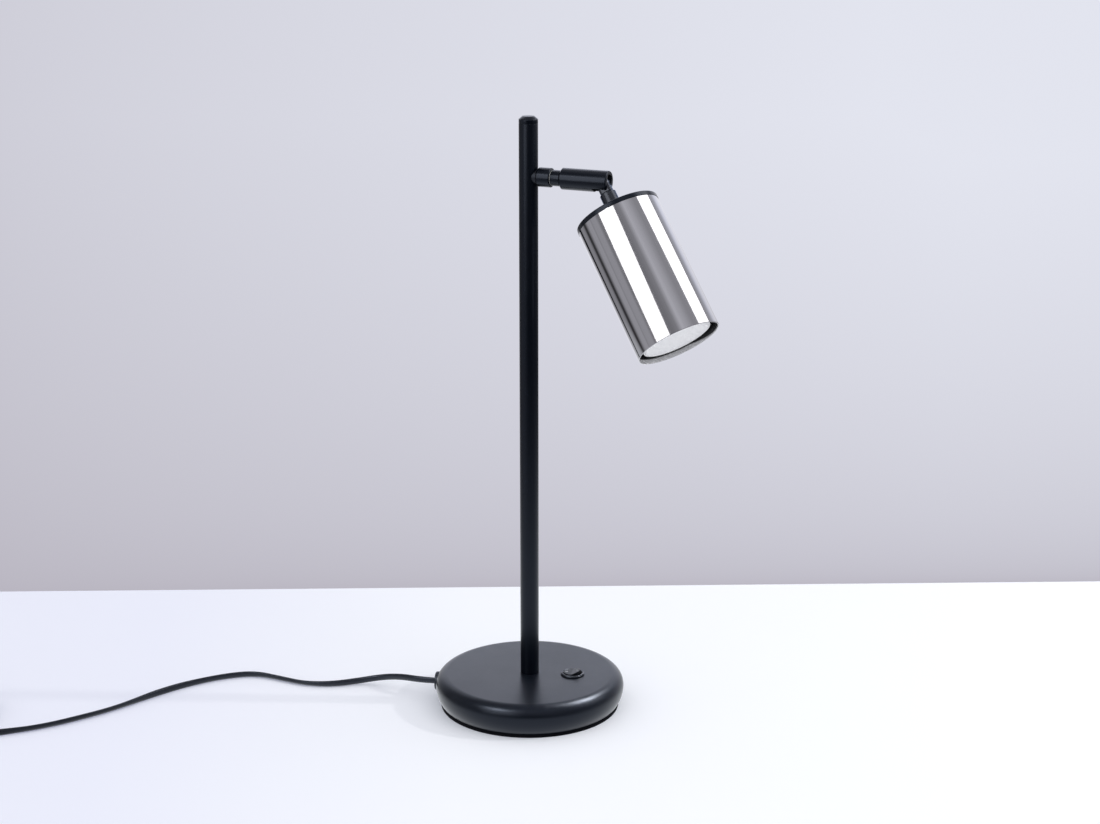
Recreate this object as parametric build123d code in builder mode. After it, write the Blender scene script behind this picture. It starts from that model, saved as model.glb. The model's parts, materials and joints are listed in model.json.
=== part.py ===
from build123d import *
from math import acos, asin, atan2, cos, degrees, pi, radians, sin, sqrt, tan
import os

# Desk lamp: a spotlight head on a swivelling, tilting arm, a slim pole and a weighted round base.
# Millimetres. The origin is the centre of the base's underside, on the table. Z is up and X runs
# along the arm, away from the pole. Every piece is its own solid in its own file.

os.makedirs("parts", exist_ok=True)

# Clearances
run_gap = 0.05          # running clearance of a pin or a washer
fit_gap = 0.05          # between a spigot and its bore, on the radius
body_gap = 0.3          # between pieces that move past each other

# Base
base_d = 140.0          # across the widest part of the cover
base_h = 24.5           # from the table to the flat top
base_round = 9.3        # radius of the upper edge
base_foot_in = 4.3      # of the cover's lower edge from its widest part
cover_wall = 1.2
base_turn = 14.0        # the switch and cord line, turned from the arm, degrees
pad_proud = 0.5         # of the pad's edge past the cover's lower edge
pad_t = 2.5
plate_t = 1.0
plate_gap = 0.2         # between the bottom plate and the cover
weight_in = 10.0        # of the weight's edge from the cover's widest part
weight_t = 12.0
hub_d = 40.0
plate_screw_d = 4.0
plate_screw_head = 8.0
plate_screw_l = 9.0
plate_screw_ring_d = 96.0
plate_screw_count = 3

# Pole
lamp_h = 440.0          # overall height
pole_d = 13.6
pole_wall = 1.0
cap_rim_h = 5.2
cap_bevel = 2.1
cap_dome = 0.35
cap_spigot_l = 9.0
foot_insert_l = 14.0
foot_nipple_d = 8.0
foot_nipple_bore = 5.2
foot_nut_flats = 13.0
foot_nut_t = 4.0
foot_washer_d = 16.0
foot_washer_t = 1.2
foot_nipple_end = 0.7   # of thread past the nut

# Switch
switch_r = 32.2         # from the pole's axis to the switch
switch_body_d = 15.0
switch_bezel_d = 17.5
switch_bezel_h = 1.5
switch_depth = 12.0
rocker_d = 12.4
rocker_swing = 20.0     # between its two positions, degrees
rocker_valley = 9.0     # slope of each half of the top, degrees
rocker_rise = 2.0       # the valley's height above the rocker's pivot
rocker_drop = 1.5
rocker_pin_d = 2.0
tab_w = 4.8
tab_t = 0.8
tab_gap = 2.0           # over the bottom plate
tab_pitch = 9.0

# Cord and its outlet
cord_d = 5.0            # the oval cord's width
cord_z = 12.8           # height of its outlet
grommet_flange_d = 13.9
grommet_flange_t = 1.5
grommet_neck_d = 10.0
grommet_back_d = 13.0
grommet_back_t = 3.0
clamp_in = 6.0          # of the clamp's middle from the weight's edge
clamp_w = 7.0
clamp_l = 24.0
clamp_t = 1.5
clamp_screw_d = 3.0
clamp_screw_head_d = 5.5
clamp_screw_head_t = 1.8
clamp_screw_pitch = 16.0
clamp_screw_l = 7.0
sheath_past = 7.0       # where the sheath ends, past the clamp's middle
lead_d = 1.9
lead_pitch = 2.3        # between the two leads in the pole
lead_z = 7.0            # the height of the leads in the base

# Terminal block
block_l = 14.0
block_w = 18.0
block_h = 8.0
block_past = 15.5       # its middle, past the sheath's end
block_pitch = 9.0
insert_d = 5.0
insert_bore = 2.6
insert_l = 12.0
block_screw_d = 2.6
block_screw_pitch = 7.0

# Arm
arm_drop = 42.6         # of its axis below the pole's top
arm_reach = 60.8        # from the pole's axis to the barrel's end
collar_d = 13.7
collar_end = 17.9       # from the pole's axis
collar_bevel = 1.0
saddle_d = 10.4
saddle_t = 0.8          # past the pole's skin
swivel_washer_t = 0.3
neck_d = 11.35
neck_l = 6.45
barrel_d = 15.3
barrel_bevel = 1.6
barrel_edge = 0.6
spigot_d = 10.9
spigot_l = 6.0
nipple_d = 7.0
nipple_bore = 4.6
anchor_l = 18.0
anchor_wire_bore = 5.0
wave_washer_t = 0.4
clip_d = 10.0
clip_t = 0.8
clip_groove = 0.4       # depth of the nipple's groove
clip_room = 4.5         # behind the spigot, inside the barrel
wire_bore = 6.0
arm_swing = 335.0       # whole range of the swivel, degrees
arm_spin = 19.8         # the head's turn towards the front at rest, degrees
stop_pin_d = 1.0
stop_pin_r = 4.5
stop_pin_out = 1.0
stop_spare = 1.0        # degrees past each end of the range

# Knuckle
pivot_back = 5.65       # from the barrel's end to the pivot
slot_w = 8.4
slot_crown = 2.0        # radius of the slot's upper corners
tang_r = 4.6
tang_t = 7.0
tang_crown = 2.4
shoulder = 9.5          # from the pivot to the round neck
knuckle_d = 11.6
knuckle_bevel = 0.8
head_bend = 56.3        # of the head from the arm's line at rest, degrees
wire_mouth_d = 2.4
pivot_screw_d = 3.0
pivot_head_d = 5.4
pivot_head_t = 1.6
pivot_head_in = 0.45    # the head's face below the barrel's skin
pivot_tip_in = 0.75     # the screw's tip below the other skin
friction_washer_t = 0.6

# Shade
shade_drop = 25.3       # from the pivot to the shade's top
shade_l = 102.9
shade_d = 60.0
shade_wall = 0.8
rim_h = 3.6
rim_proud = 0.2
rim_round = 1.0
cap_plate_t = 1.2
cap_skirt_l = 7.1
cap_skirt_t = 1.1
head_spigot_d = 8.0
head_washer_d = 15.0
head_washer_t = 0.8
head_nut_flats = 13.0
head_nut_t = 4.0
head_spigot_end = 1.0   # of thread past the nut
strap_t = 1.0
strap_w = 14.0
strap_span = 30.0
strap_foot = 9.0

# Lampholder and lamp
holder_d = 27.0
holder_l = 16.0
holder_plate = 3.0
holder_screw_d = 3.0
holder_screw_head_d = 5.6
holder_screw_head_t = 2.0
holder_screw_pitch = 19.0
holder_screw_l = 6.0
lamp_d = 50.0
lamp_l = 47.0
lamp_neck_d = 27.0
lamp_neck_l = 13.0
lamp_rim_l = 8.0
lamp_recess = 3.0       # of its face inside the shade's mouth
lamp_pin_pitch = 10.0
lamp_pin_d = 2.5
lamp_pin_l = 7.0
lamp_pin_head_d = 5.0
lamp_pin_head_l = 3.4
lamp_twist = 22.0       # from locked to free, degrees
lens_d = 47.0
lens_t = 1.5
lens_proud = 0.2

# Coil, tie and plug
coil_turns = 7.25
coil_inner_r = 20.2
coil_pitch = 5.5        # between turns and between layers
coil_steps_per_turn = 4
tie_t = 0.8
tie_w = 9.0
tie_room = 0.6
tie_angle = 60.0        # round the coil, degrees
plug_l = 36.0
plug_w = 35.3
plug_h = 13.7
plug_neck_w = 13.0
plug_side_l = 15.0
plug_shoulder_r = 8.0
plug_corner_r = 2.0
plug_edge_r = 1.6
plug_relief_l = 28.0
plug_relief_d = 10.4
plug_relief_tip_d = 6.4
plug_relief_grooves = 5
plug_pin_pitch = 19.0
plug_pin_d = 4.0
plug_pin_l = 19.0
plug_sleeve_l = 10.0
plug_sleeve_d = 4.0       # flush with the pins
plug_pin_core_d = 3.0
plug_pin_root_l = 8.0   # inside the body
plug_pin_tip_r = 1.6

# Places worked out from the sizes above
base_r = base_d / 2
rim_z = base_h - base_round
side_h = rim_z - pad_t
side_in = base_foot_in
side_r = (side_h**2 + side_in**2) / (2 * side_in)
plate_z = pad_t
pad_r = base_r - base_foot_in + pad_proud
weight_r = base_r - weight_in
clamp_x = weight_r - clamp_in
cord_strip = clamp_x - sheath_past
block_x = cord_strip - block_past
weight_z = pad_t + plate_t
tab_l = base_h - switch_depth - weight_z - tab_gap
hub_top = base_h - cover_wall
foot_bore_r = foot_nipple_d / 2 + 0.2
nut_recess_r = foot_nut_flats / 2 + 4.5
nut_recess_h = weight_t
nut_recess_top = weight_z + nut_recess_h
foot_nut_z = nut_recess_top - foot_washer_t - foot_nut_t
foot_nipple_z = foot_nut_z - foot_nipple_end
pole_bore = pole_d - 2 * pole_wall
plug_fit = pole_bore / 2 - fit_gap / 2
pole_top = lamp_h - cap_rim_h
arm_z = lamp_h - arm_drop
collar_start = pole_d / 2 + saddle_t
neck_start = collar_end + swivel_washer_t + run_gap
barrel_start = neck_start + neck_l
spigot_end = barrel_start + spigot_l
clip_x = spigot_end + 2 * run_gap + wave_washer_t
nipple_end = clip_x + clip_t + 1.2
barrel_bore_end = spigot_end + clip_room
pivot_x = arm_reach - pivot_back
slot_start = pivot_x - tang_r - body_gap
slot_top = tang_r + body_gap
friction_washer_r = slot_top - slot_crown

# Planes and axes of the base, turned to the line of the switch and the cord
base_plane = Plane.XY.rotated((0, 0, base_turn))
base_x = base_plane.x_dir
base_y = base_plane.y_dir


def on_base(x, y, z):
    """A point given along and across the line of the cord and the switch."""
    return base_x * x + base_y * y + Vector(0, 0, z)


def cord_outlet(r):
    """The plane square to the cord at its outlet, at a distance from the pole's axis."""
    return Plane(origin=on_base(-r, 0, cord_z), x_dir=base_y, z_dir=base_x * -1)


# Planes and axes of the arm and the head
along_arm = Vector(1, 0, 0)
tilt_dir = Vector(0, cos(radians(arm_spin)), -sin(radians(arm_spin)))
bend_dir = Vector(0, -sin(radians(arm_spin)), -cos(radians(arm_spin)))
pivot = Vector(pivot_x, 0, arm_z)
head_dir = along_arm * cos(radians(head_bend)) + bend_dir * sin(radians(head_bend))
front_dir = along_arm * sin(radians(head_bend)) - bend_dir * cos(radians(head_bend))
arm_axis = Axis((0, 0, arm_z), along_arm)
tilt_axis = Axis(pivot, tilt_dir)
head_axis = Axis(pivot, head_dir)
arm_side = Plane(origin=(0, 0, arm_z), x_dir=along_arm, z_dir=(0, -1, 0))
head_side = Plane(origin=pivot, x_dir=head_dir, z_dir=head_dir.cross(tilt_dir))


def across_arm(x):
    """The plane square to the arm at x, its sketch's X to the back and its Y up."""
    return Plane(origin=(x, 0, arm_z), x_dir=(0, 1, 0), z_dir=along_arm)


def across_slot(x):
    """The plane square to the arm at x, turned with the head's slot."""
    return Plane(origin=(x, 0, arm_z), x_dir=tilt_dir, z_dir=along_arm)


def across_head(h):
    """The plane square to the shade's axis at h from the pivot."""
    return Plane(origin=pivot + head_dir * h, x_dir=tilt_dir, z_dir=head_dir)


def across_tilt(a):
    """The plane square to the tilt axis at a from the arm's middle."""
    return Plane(origin=pivot + tilt_dir * a, x_dir=head_dir, z_dir=tilt_dir)


def save(piece, name):
    """Labels a finished piece and writes its file."""
    piece.part.label = name
    export_step(piece.part, f"parts/{name}.step")


def base_outline(inset):
    """Lines of half the base's section, moved in by a wall's thickness."""
    low_r = side_r - inset
    foot_x = base_r - side_r + sqrt(low_r**2 - side_h**2)
    low_turn = degrees(asin(side_h / low_r))
    flat_r = base_r - base_round
    Line((0, pad_t), (foot_x, pad_t))
    CenterArc((base_r - side_r, rim_z), low_r, -low_turn, low_turn)
    CenterArc((flat_r, rim_z), base_round - inset, 0, 90)
    Line((flat_r, base_h - inset), (0, base_h - inset))
    Line((0, base_h - inset), (0, pad_t))


# Base cover: a pressed steel shell, open below
with BuildPart() as base_form:
    with BuildSketch(Plane.XZ):
        with BuildLine():
            base_outline(0)
        make_face()
    revolve(axis=Axis.Z)

with BuildPart() as base_cavity:
    with BuildSketch(Plane.XZ):
        with BuildLine():
            base_outline(cover_wall)
        make_face()
    revolve(axis=Axis.Z)

with BuildPart() as base_cover:
    add(base_form.part)
    add(base_cavity.part, mode=Mode.SUBTRACT)
    with Locations((0, 0, base_h)):
        Hole(foot_bore_r, depth=2 * cover_wall)
    with Locations(on_base(switch_r, 0, base_h)):
        Hole(switch_body_d / 2 + 0.1, depth=2 * cover_wall)
    with BuildSketch(cord_outlet(base_r - 3 * cover_wall)):
        Circle(grommet_neck_d / 2 + 0.1)
    extrude(amount=4 * cover_wall, mode=Mode.SUBTRACT)
save(base_cover, "base_cover")

# Cast weight: disc and hub, with pockets for the nut, the switch, the block and the cord
weight_top = weight_z + weight_t
pocket_out = block_x + block_l / 2 + 7.5
pocket_w = block_w + 4
pocket_h = block_h + 2
switch_pocket_r = switch_body_d / 2 + 4.5
groove_floor = cord_z - cord_d / 2
lead_groove_w = tab_pitch + 7
lead_groove_h = lead_z - weight_z + lead_d / 2 + 1.5
plate_screw_turn = 90.0

with BuildPart() as base_weight:
    with BuildSketch(Plane.XZ):
        with BuildLine():
            Polyline(
                (nut_recess_r, weight_z),
                (weight_r - 1, weight_z),
                (weight_r, weight_z + 1),
                (weight_r, weight_top - 2),
                (weight_r - 2, weight_top),
                (hub_d / 2 + 1.5, weight_top),
                (hub_d / 2, weight_top + 1.5),
                (hub_d / 2, hub_top),
                (foot_bore_r, hub_top),
                (foot_bore_r, nut_recess_top),
                (nut_recess_r, nut_recess_top),
                close=True,
            )
        make_face()
    revolve(axis=Axis.Z)
    with BuildSketch(base_plane.offset(weight_z)):
        with Locations((switch_r, 0)):
            Circle(switch_pocket_r)
    extrude(amount=hub_top - weight_z, mode=Mode.SUBTRACT)
    with BuildSketch(base_plane.offset(weight_z)):
        with Locations((switch_r / 2, 0)):
            Rectangle(switch_r, lead_groove_w)
    extrude(amount=lead_groove_h, mode=Mode.SUBTRACT)
    with BuildSketch(base_plane.offset(weight_z)):
        with Locations((-pocket_out / 2, 0)):
            Rectangle(pocket_out, pocket_w)
    extrude(amount=pocket_h, mode=Mode.SUBTRACT)
    with BuildSketch(base_plane.offset(groove_floor)):
        with Locations((-(weight_r + pocket_out - 3) / 2, 0)):
            Rectangle(weight_r - pocket_out + 5, cord_d + 1)
    extrude(amount=weight_t, mode=Mode.SUBTRACT)
    with BuildSketch(base_plane.offset(weight_z)):
        with PolarLocations(plate_screw_ring_d / 2, plate_screw_count, plate_screw_turn):
            Circle(plate_screw_d / 2 + fit_gap)
    extrude(amount=plate_screw_l, mode=Mode.SUBTRACT)
    with BuildSketch(base_plane.offset(weight_top)):
        with Locations((-clamp_x, 0)):
            with GridLocations(1, clamp_screw_pitch, 1, 2):
                Circle(clamp_screw_d / 2 + fit_gap)
    extrude(amount=clamp_t - clamp_screw_l - 1, mode=Mode.SUBTRACT)
save(base_weight, "base_weight")

# Bottom plate, under the weight and inside the cover's lower edge
plate_r = base_r - side_r + sqrt((side_r - cover_wall) ** 2 - side_h**2) - plate_gap

with BuildPart() as bottom_plate:
    with BuildSketch(base_plane.offset(plate_z)):
        Circle(plate_r)
        with PolarLocations(plate_screw_ring_d / 2, plate_screw_count, plate_screw_turn):
            Circle(plate_screw_d / 2 + 0.1, mode=Mode.SUBTRACT)
    extrude(amount=plate_t)
    with BuildSketch(base_plane.offset(plate_z)):
        with PolarLocations(plate_screw_ring_d / 2, plate_screw_count, plate_screw_turn):
            Circle(plate_screw_head / 2 + 0.1)
    extrude(amount=plate_t, taper=45, mode=Mode.SUBTRACT)
save(bottom_plate, "bottom_plate")

with BuildPart() as bottom_screws:
    for turn in range(plate_screw_count):
        angle = plate_screw_turn + turn * 360 / plate_screw_count
        x = plate_screw_ring_d / 2 * cos(radians(angle))
        y = plate_screw_ring_d / 2 * sin(radians(angle))
        with BuildSketch(Plane(origin=on_base(x, y, plate_z))):
            Circle(plate_screw_d / 2)
        extrude(amount=plate_t + plate_screw_l - 1)
        with BuildSketch(Plane(origin=on_base(x, y, plate_z))):
            Circle(plate_screw_head / 2)
            Rectangle(plate_screw_head / 2, plate_screw_head / 8, mode=Mode.SUBTRACT)
            Rectangle(plate_screw_head / 8, plate_screw_head / 2, mode=Mode.SUBTRACT)
        extrude(amount=plate_t, taper=45)
save(bottom_screws, "bottom_screws")

# Foot pad: a foam disc glued under the plate and the cover's edge
with BuildPart() as foot_pad:
    with BuildSketch():
        Circle(pad_r)
    extrude(amount=pad_t)
    chamfer(foot_pad.edges().sort_by(Axis.Z)[0], 0.4)
save(foot_pad, "foot_pad")

# Pole: tube with a side hole for the arm's nipple
with BuildPart() as pole_tube:
    with BuildSketch(Plane.XY.offset(base_h)):
        Circle(pole_d / 2)
        Circle(pole_bore / 2, mode=Mode.SUBTRACT)
    extrude(amount=pole_top - base_h)
    with BuildSketch(across_arm(0)):
        Circle(nipple_d / 2 + 0.1)
    extrude(amount=pole_d, mode=Mode.SUBTRACT)
save(pole_tube, "pole_tube")

with BuildPart() as pole_cap:
    with BuildSketch(Plane.XZ):
        with BuildLine():
            Line((0, pole_top - cap_spigot_l), (plug_fit, pole_top - cap_spigot_l))
            Line((plug_fit, pole_top - cap_spigot_l), (plug_fit, pole_top))
            Line((plug_fit, pole_top), (pole_d / 2, pole_top))
            cap_edge_z = lamp_h - cap_dome - cap_bevel
            Line((pole_d / 2, pole_top), (pole_d / 2, cap_edge_z))
            cap_flat_r = pole_d / 2 - cap_bevel
            Line((pole_d / 2, cap_edge_z), (cap_flat_r, lamp_h - cap_dome))
            RadiusArc((cap_flat_r, lamp_h - cap_dome), (0, lamp_h), -(cap_flat_r**2 + cap_dome**2) / (2 * cap_dome))
            Line((0, lamp_h), (0, pole_top - cap_spigot_l))
        make_face()
    revolve(axis=Axis.Z)
save(pole_cap, "pole_cap")

# Insert in the pole's foot, and the nipple, washer and nut that clamp the base together
with BuildPart() as pole_foot_insert:
    with BuildSketch(Plane.XY.offset(base_h)):
        Circle(plug_fit)
        Circle(foot_nipple_d / 2 + fit_gap, mode=Mode.SUBTRACT)
    extrude(amount=foot_insert_l)
save(pole_foot_insert, "pole_foot_insert")

with BuildPart() as foot_nipple:
    with BuildSketch(Plane.XY.offset(foot_nipple_z)):
        Circle(foot_nipple_d / 2)
        Circle(foot_nipple_bore / 2, mode=Mode.SUBTRACT)
    extrude(amount=base_h + foot_insert_l - 2 - foot_nipple_z)
    chamfer(foot_nipple.edges().filter_by(GeomType.CIRCLE).sort_by(SortBy.RADIUS)[-2:], 0.5)
save(foot_nipple, "foot_nipple")

with BuildPart() as foot_washer:
    with BuildSketch(Plane.XY.offset(foot_nut_z + foot_nut_t)):
        Circle(foot_washer_d / 2)
        Circle(foot_bore_r, mode=Mode.SUBTRACT)
    extrude(amount=foot_washer_t)
save(foot_washer, "foot_washer")

with BuildPart() as foot_nut:
    with BuildSketch(Plane.XY.offset(foot_nut_z)):
        RegularPolygon(foot_nut_flats / 2, 6, major_radius=False)
        Circle(foot_nipple_d / 2 + fit_gap, mode=Mode.SUBTRACT)
    extrude(amount=foot_nut_t)
save(foot_nut, "foot_nut")

# Switch: housing with its bezel, two tabs, and the rocker
switch_at = on_base(switch_r, 0, base_h)
cavity_r = switch_body_d / 2 - 0.65
bezel_top = base_h + switch_bezel_h
rocker_floor = rocker_drop + rocker_d / 2 * sin(radians(rocker_swing / 2)) + 0.8

with BuildPart() as switch_housing:
    with BuildSketch(Plane(origin=switch_at, x_dir=base_x, z_dir=base_y * -1)):
        with BuildLine():
            Polyline(
                (0, -switch_depth),
                (switch_body_d / 2 - 0.6, -switch_depth),
                (switch_body_d / 2, 0.6 - switch_depth),
                (switch_body_d / 2, 0),
                (switch_bezel_d / 2, 0),
                (switch_bezel_d / 2, switch_bezel_h * 0.45),
                (switch_bezel_d / 2 - 0.55, switch_bezel_h),
                (cavity_r + 0.45, switch_bezel_h),
                (cavity_r, switch_bezel_h - 0.4),
                (cavity_r, -rocker_floor),
                (0, -rocker_floor),
                close=True,
            )
        make_face()
    revolve(axis=Axis(switch_at, (0, 0, 1)))
    with BuildSketch(Plane(origin=switch_at - base_y * (cavity_r + 0.5), x_dir=base_x, z_dir=base_y)):
        Circle(rocker_pin_d / 2 + run_gap)
    extrude(amount=2 * cavity_r + 1, mode=Mode.SUBTRACT)
    with BuildSketch(base_plane.offset(base_h - cover_wall)):
        with Locations((switch_r, 0)):
            with GridLocations(switch_body_d, 1, 2, 1):
                Rectangle(1.2, 4)
    extrude(amount=-3)
save(switch_housing, "switch_housing")

with BuildPart() as switch_tabs:
    with BuildSketch(base_plane.offset(base_h - switch_depth)):
        with Locations((switch_r, 0)):
            with GridLocations(1, tab_pitch, 1, 2):
                Rectangle(tab_t, tab_w)
    extrude(amount=-tab_l)
save(switch_tabs, "switch_tabs")

rest_tilt = radians(rocker_swing / 2)
rocker_x = base_x * cos(rest_tilt) + Vector(0, 0, sin(rest_tilt))
rocker_z = base_x * -sin(rest_tilt) + Vector(0, 0, cos(rest_tilt))
rocker_edge_z = rocker_rise + rocker_d / 2 * tan(radians(rocker_valley))

with BuildPart() as switch_rocker:
    with BuildSketch(Plane(origin=switch_at, x_dir=rocker_x, z_dir=base_y * -1)):
        with BuildLine():
            Polyline(
                (-rocker_d / 2, -rocker_drop),
                (rocker_d / 2, -rocker_drop),
                (rocker_d / 2, rocker_edge_z),
                (0, rocker_rise),
                (-rocker_d / 2, rocker_edge_z),
                close=True,
            )
        make_face()
        Circle(rocker_d / 2 + 0.3, mode=Mode.INTERSECT)
    extrude(amount=rocker_d / 2, both=True)
    with BuildSketch(Plane(origin=switch_at - rocker_z * rocker_d, x_dir=rocker_x, z_dir=rocker_z)):
        Circle(rocker_d / 2)
    extrude(amount=2 * rocker_d, mode=Mode.INTERSECT)
    with BuildSketch(Plane(origin=switch_at, x_dir=base_x, z_dir=base_y)):
        Circle(rocker_pin_d / 2)
    extrude(amount=cavity_r + 0.45, both=True)
save(switch_rocker, "switch_rocker")

# Cord grommet: an outer flange that follows the cover, a neck and a flange behind the wall
with BuildPart() as grommet_flange:
    with BuildSketch(cord_outlet(base_r - base_round)):
        Circle(grommet_flange_d / 2)
    extrude(amount=base_round + grommet_flange_t)
    chamfer(grommet_flange.faces().sort_by(Axis((0, 0, 0), base_x))[0].edges(), 0.5)
    add(base_form.part, mode=Mode.SUBTRACT)

with BuildPart() as cord_grommet:
    with BuildSketch(cord_outlet(base_r - cover_wall - grommet_back_t)):
        Circle(grommet_back_d / 2)
    extrude(amount=grommet_back_t)
    add(base_cavity.part, mode=Mode.INTERSECT)
    with BuildSketch(cord_outlet(base_r - cover_wall - grommet_back_t)):
        Circle(grommet_neck_d / 2)
    extrude(amount=grommet_back_t + cover_wall + grommet_flange_t / 2)
    add(grommet_flange.part)
    with BuildSketch(cord_outlet(0)):
        Circle(cord_d / 2 + fit_gap)
    extrude(amount=2 * base_r, mode=Mode.SUBTRACT)
save(cord_grommet, "cord_grommet")

# Inside the base: cord end, clamp, cores, terminal block and leads
with BuildPart() as cord_inner:
    with BuildSketch(cord_outlet(cord_strip)):
        Circle(cord_d / 2)
    extrude(amount=base_r + grommet_flange_t - cord_strip)
save(cord_inner, "cord_inner")

with BuildPart() as cord_clamp:
    with BuildSketch(base_plane.offset(weight_top)):
        with Locations((-clamp_x, 0)):
            RectangleRounded(clamp_w, clamp_l, 2)
            with GridLocations(1, clamp_screw_pitch, 1, 2):
                Circle(clamp_screw_d / 2 + 0.1, mode=Mode.SUBTRACT)
    extrude(amount=clamp_t)
save(cord_clamp, "cord_clamp")

with BuildPart() as clamp_screws:
    with BuildSketch(base_plane.offset(weight_top + clamp_t)):
        with Locations((-clamp_x, 0)):
            with GridLocations(1, clamp_screw_pitch, 1, 2):
                Circle(clamp_screw_head_d / 2)
    extrude(amount=clamp_screw_head_t)
    fillet(clamp_screws.edges().group_by(Axis.Z)[-1], 0.6)
    with BuildSketch(base_plane.offset(weight_top + clamp_t)):
        with Locations((-clamp_x, 0)):
            with GridLocations(1, clamp_screw_pitch, 1, 2):
                Circle(clamp_screw_d / 2)
    extrude(amount=-clamp_screw_l)
save(clamp_screws, "clamp_screws")

block_plane = Plane(origin=on_base(-block_x, 0, lead_z), x_dir=base_y, z_dir=base_x)

with BuildPart() as terminal_block:
    with BuildSketch(base_plane.offset(weight_z)):
        with Locations((-block_x, 0)):
            Rectangle(block_l, block_w)
    extrude(amount=block_h)
    chamfer(terminal_block.edges().filter_by(Axis.Z), 1.0)
    with BuildSketch(block_plane.offset(-block_l)):
        with GridLocations(block_pitch, 1, 2, 1):
            Circle(insert_d / 2 + fit_gap)
    extrude(amount=2 * block_l, mode=Mode.SUBTRACT)
    with BuildSketch(base_plane.offset(weight_z + block_h)):
        with Locations((-block_x, 0)):
            with GridLocations(block_screw_pitch, block_pitch, 2, 2):
                Circle(block_screw_d / 2 + 0.1)
    extrude(amount=lead_z - weight_z - block_h, mode=Mode.SUBTRACT)
save(terminal_block, "terminal_block")

with BuildPart() as terminal_inserts:
    with BuildSketch(block_plane.offset(-insert_l / 2)):
        with GridLocations(block_pitch, 1, 2, 1):
            Circle(insert_d / 2)
            Circle(insert_bore / 2, mode=Mode.SUBTRACT)
    extrude(amount=insert_l)
    with BuildSketch(base_plane.offset(weight_z + block_h)):
        with Locations((-block_x, 0)):
            with GridLocations(block_screw_pitch, block_pitch, 2, 2):
                Circle(block_screw_d / 2 + 0.1)
    extrude(amount=lead_z - weight_z - block_h, mode=Mode.SUBTRACT)
save(terminal_inserts, "terminal_inserts")

screw_low = lead_z + lead_d / 2

with BuildPart() as terminal_screws:
    with BuildSketch(base_plane.offset(screw_low)):
        with Locations((-block_x, 0)):
            with GridLocations(block_screw_pitch, block_pitch, 2, 2):
                Circle(block_screw_d / 2)
    extrude(amount=weight_z + block_h - 0.4 - screw_low)
save(terminal_screws, "terminal_screws")


def lead(points, bends):
    """A round lead along straight runs joined by arcs, added to the piece in hand."""
    with BuildPart() as one_lead:
        with BuildLine():
            FilletPolyline(*points, radius=bends)
        with BuildSketch(Plane(origin=points[0], z_dir=points[1] - points[0])):
            Circle(lead_d / 2)
        sweep()
    return one_lead.part


core_end = block_x + 1.5
with BuildPart() as supply_cores:
    for side in (-1, 1):
        core_near = side * (lead_d / 2 + 0.3)
        core_far = side * block_pitch / 2
        core_route = [
            on_base(-cord_strip, core_near, cord_z),
            on_base(-cord_strip + 2, core_near, cord_z),
            on_base(-cord_strip + 7, core_far, lead_z),
            on_base(-core_end, core_far, lead_z),
        ]
        add(lead(core_route, [1.8, 1.8]))
save(supply_cores, "supply_cores")

lead_start = block_x - 1.5
lead_bend = 2.5
lead_top_x = nipple_end - 0.2

with BuildPart() as neutral_lead:
    y = -lead_pitch / 2
    neutral_route = [
        on_base(-lead_start, -block_pitch / 2, lead_z),
        on_base(-0.6 * lead_start, -block_pitch / 2, lead_z),
        Vector(0, y, lead_z),
        Vector(0, y, arm_z),
        Vector(lead_top_x, y, arm_z),
    ]
    add(lead(neutral_route, [4, lead_bend, lead_bend]))
save(neutral_lead, "neutral_lead")

with BuildPart() as live_lead:
    y = lead_pitch / 2
    live_route = [
        on_base(switch_r - tab_t / 2, -tab_pitch / 2, lead_z),
        on_base(switch_r / 2, -tab_pitch / 2, lead_z),
        Vector(0, y, lead_z),
        Vector(0, y, arm_z),
        Vector(lead_top_x, y, arm_z),
    ]
    add(lead(live_route, [4, lead_bend, lead_bend]))
save(live_lead, "live_lead")

with BuildPart() as feed_lead:
    with BuildSketch(Plane(origin=on_base(-lead_start, tab_pitch / 2, lead_z), z_dir=base_x)):
        Circle(lead_d / 2)
    extrude(amount=lead_start + switch_r - tab_t / 2)
save(feed_lead, "feed_lead")

# Arm anchor in the pole, the hollow nipple that is the swivel's axle, and what sits on it
with BuildPart() as arm_anchor:
    with BuildSketch(Plane.XY.offset(arm_z - anchor_l / 2)):
        Circle(plug_fit)
    extrude(amount=anchor_l)
    with BuildSketch(Plane.XY.offset(arm_z - anchor_l / 2)):
        Circle(anchor_wire_bore / 2)
    extrude(amount=anchor_l / 2 + anchor_wire_bore / 2, mode=Mode.SUBTRACT)
    with BuildSketch(across_arm(0)):
        Circle(nipple_d / 2 + fit_gap)
    extrude(amount=pole_d, mode=Mode.SUBTRACT)
save(arm_anchor, "arm_anchor")

nipple_start = lead_d / 2 + 0.65

with BuildPart() as arm_nipple:
    with BuildSketch(across_arm(nipple_start)):
        Circle(nipple_d / 2)
    extrude(amount=nipple_end - nipple_start)
    with BuildSketch(across_arm(clip_x - 0.02)):
        Circle(nipple_d / 2 + 1)
        Circle(nipple_d / 2 - clip_groove, mode=Mode.SUBTRACT)
    extrude(amount=clip_t + 0.04, mode=Mode.SUBTRACT)
    with BuildSketch(across_arm(0)):
        Circle(nipple_bore / 2)
    extrude(amount=arm_reach, mode=Mode.SUBTRACT)
save(arm_nipple, "arm_nipple")

with BuildPart() as saddle_washer:
    with BuildSketch(across_arm(0)):
        Circle(saddle_d / 2)
        Circle(nipple_d / 2 + fit_gap, mode=Mode.SUBTRACT)
    extrude(amount=collar_start)
    with BuildSketch(Plane.XY.offset(arm_z - saddle_d)):
        Circle(pole_d / 2)
    extrude(amount=2 * saddle_d, mode=Mode.SUBTRACT)
save(saddle_washer, "saddle_washer")

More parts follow.
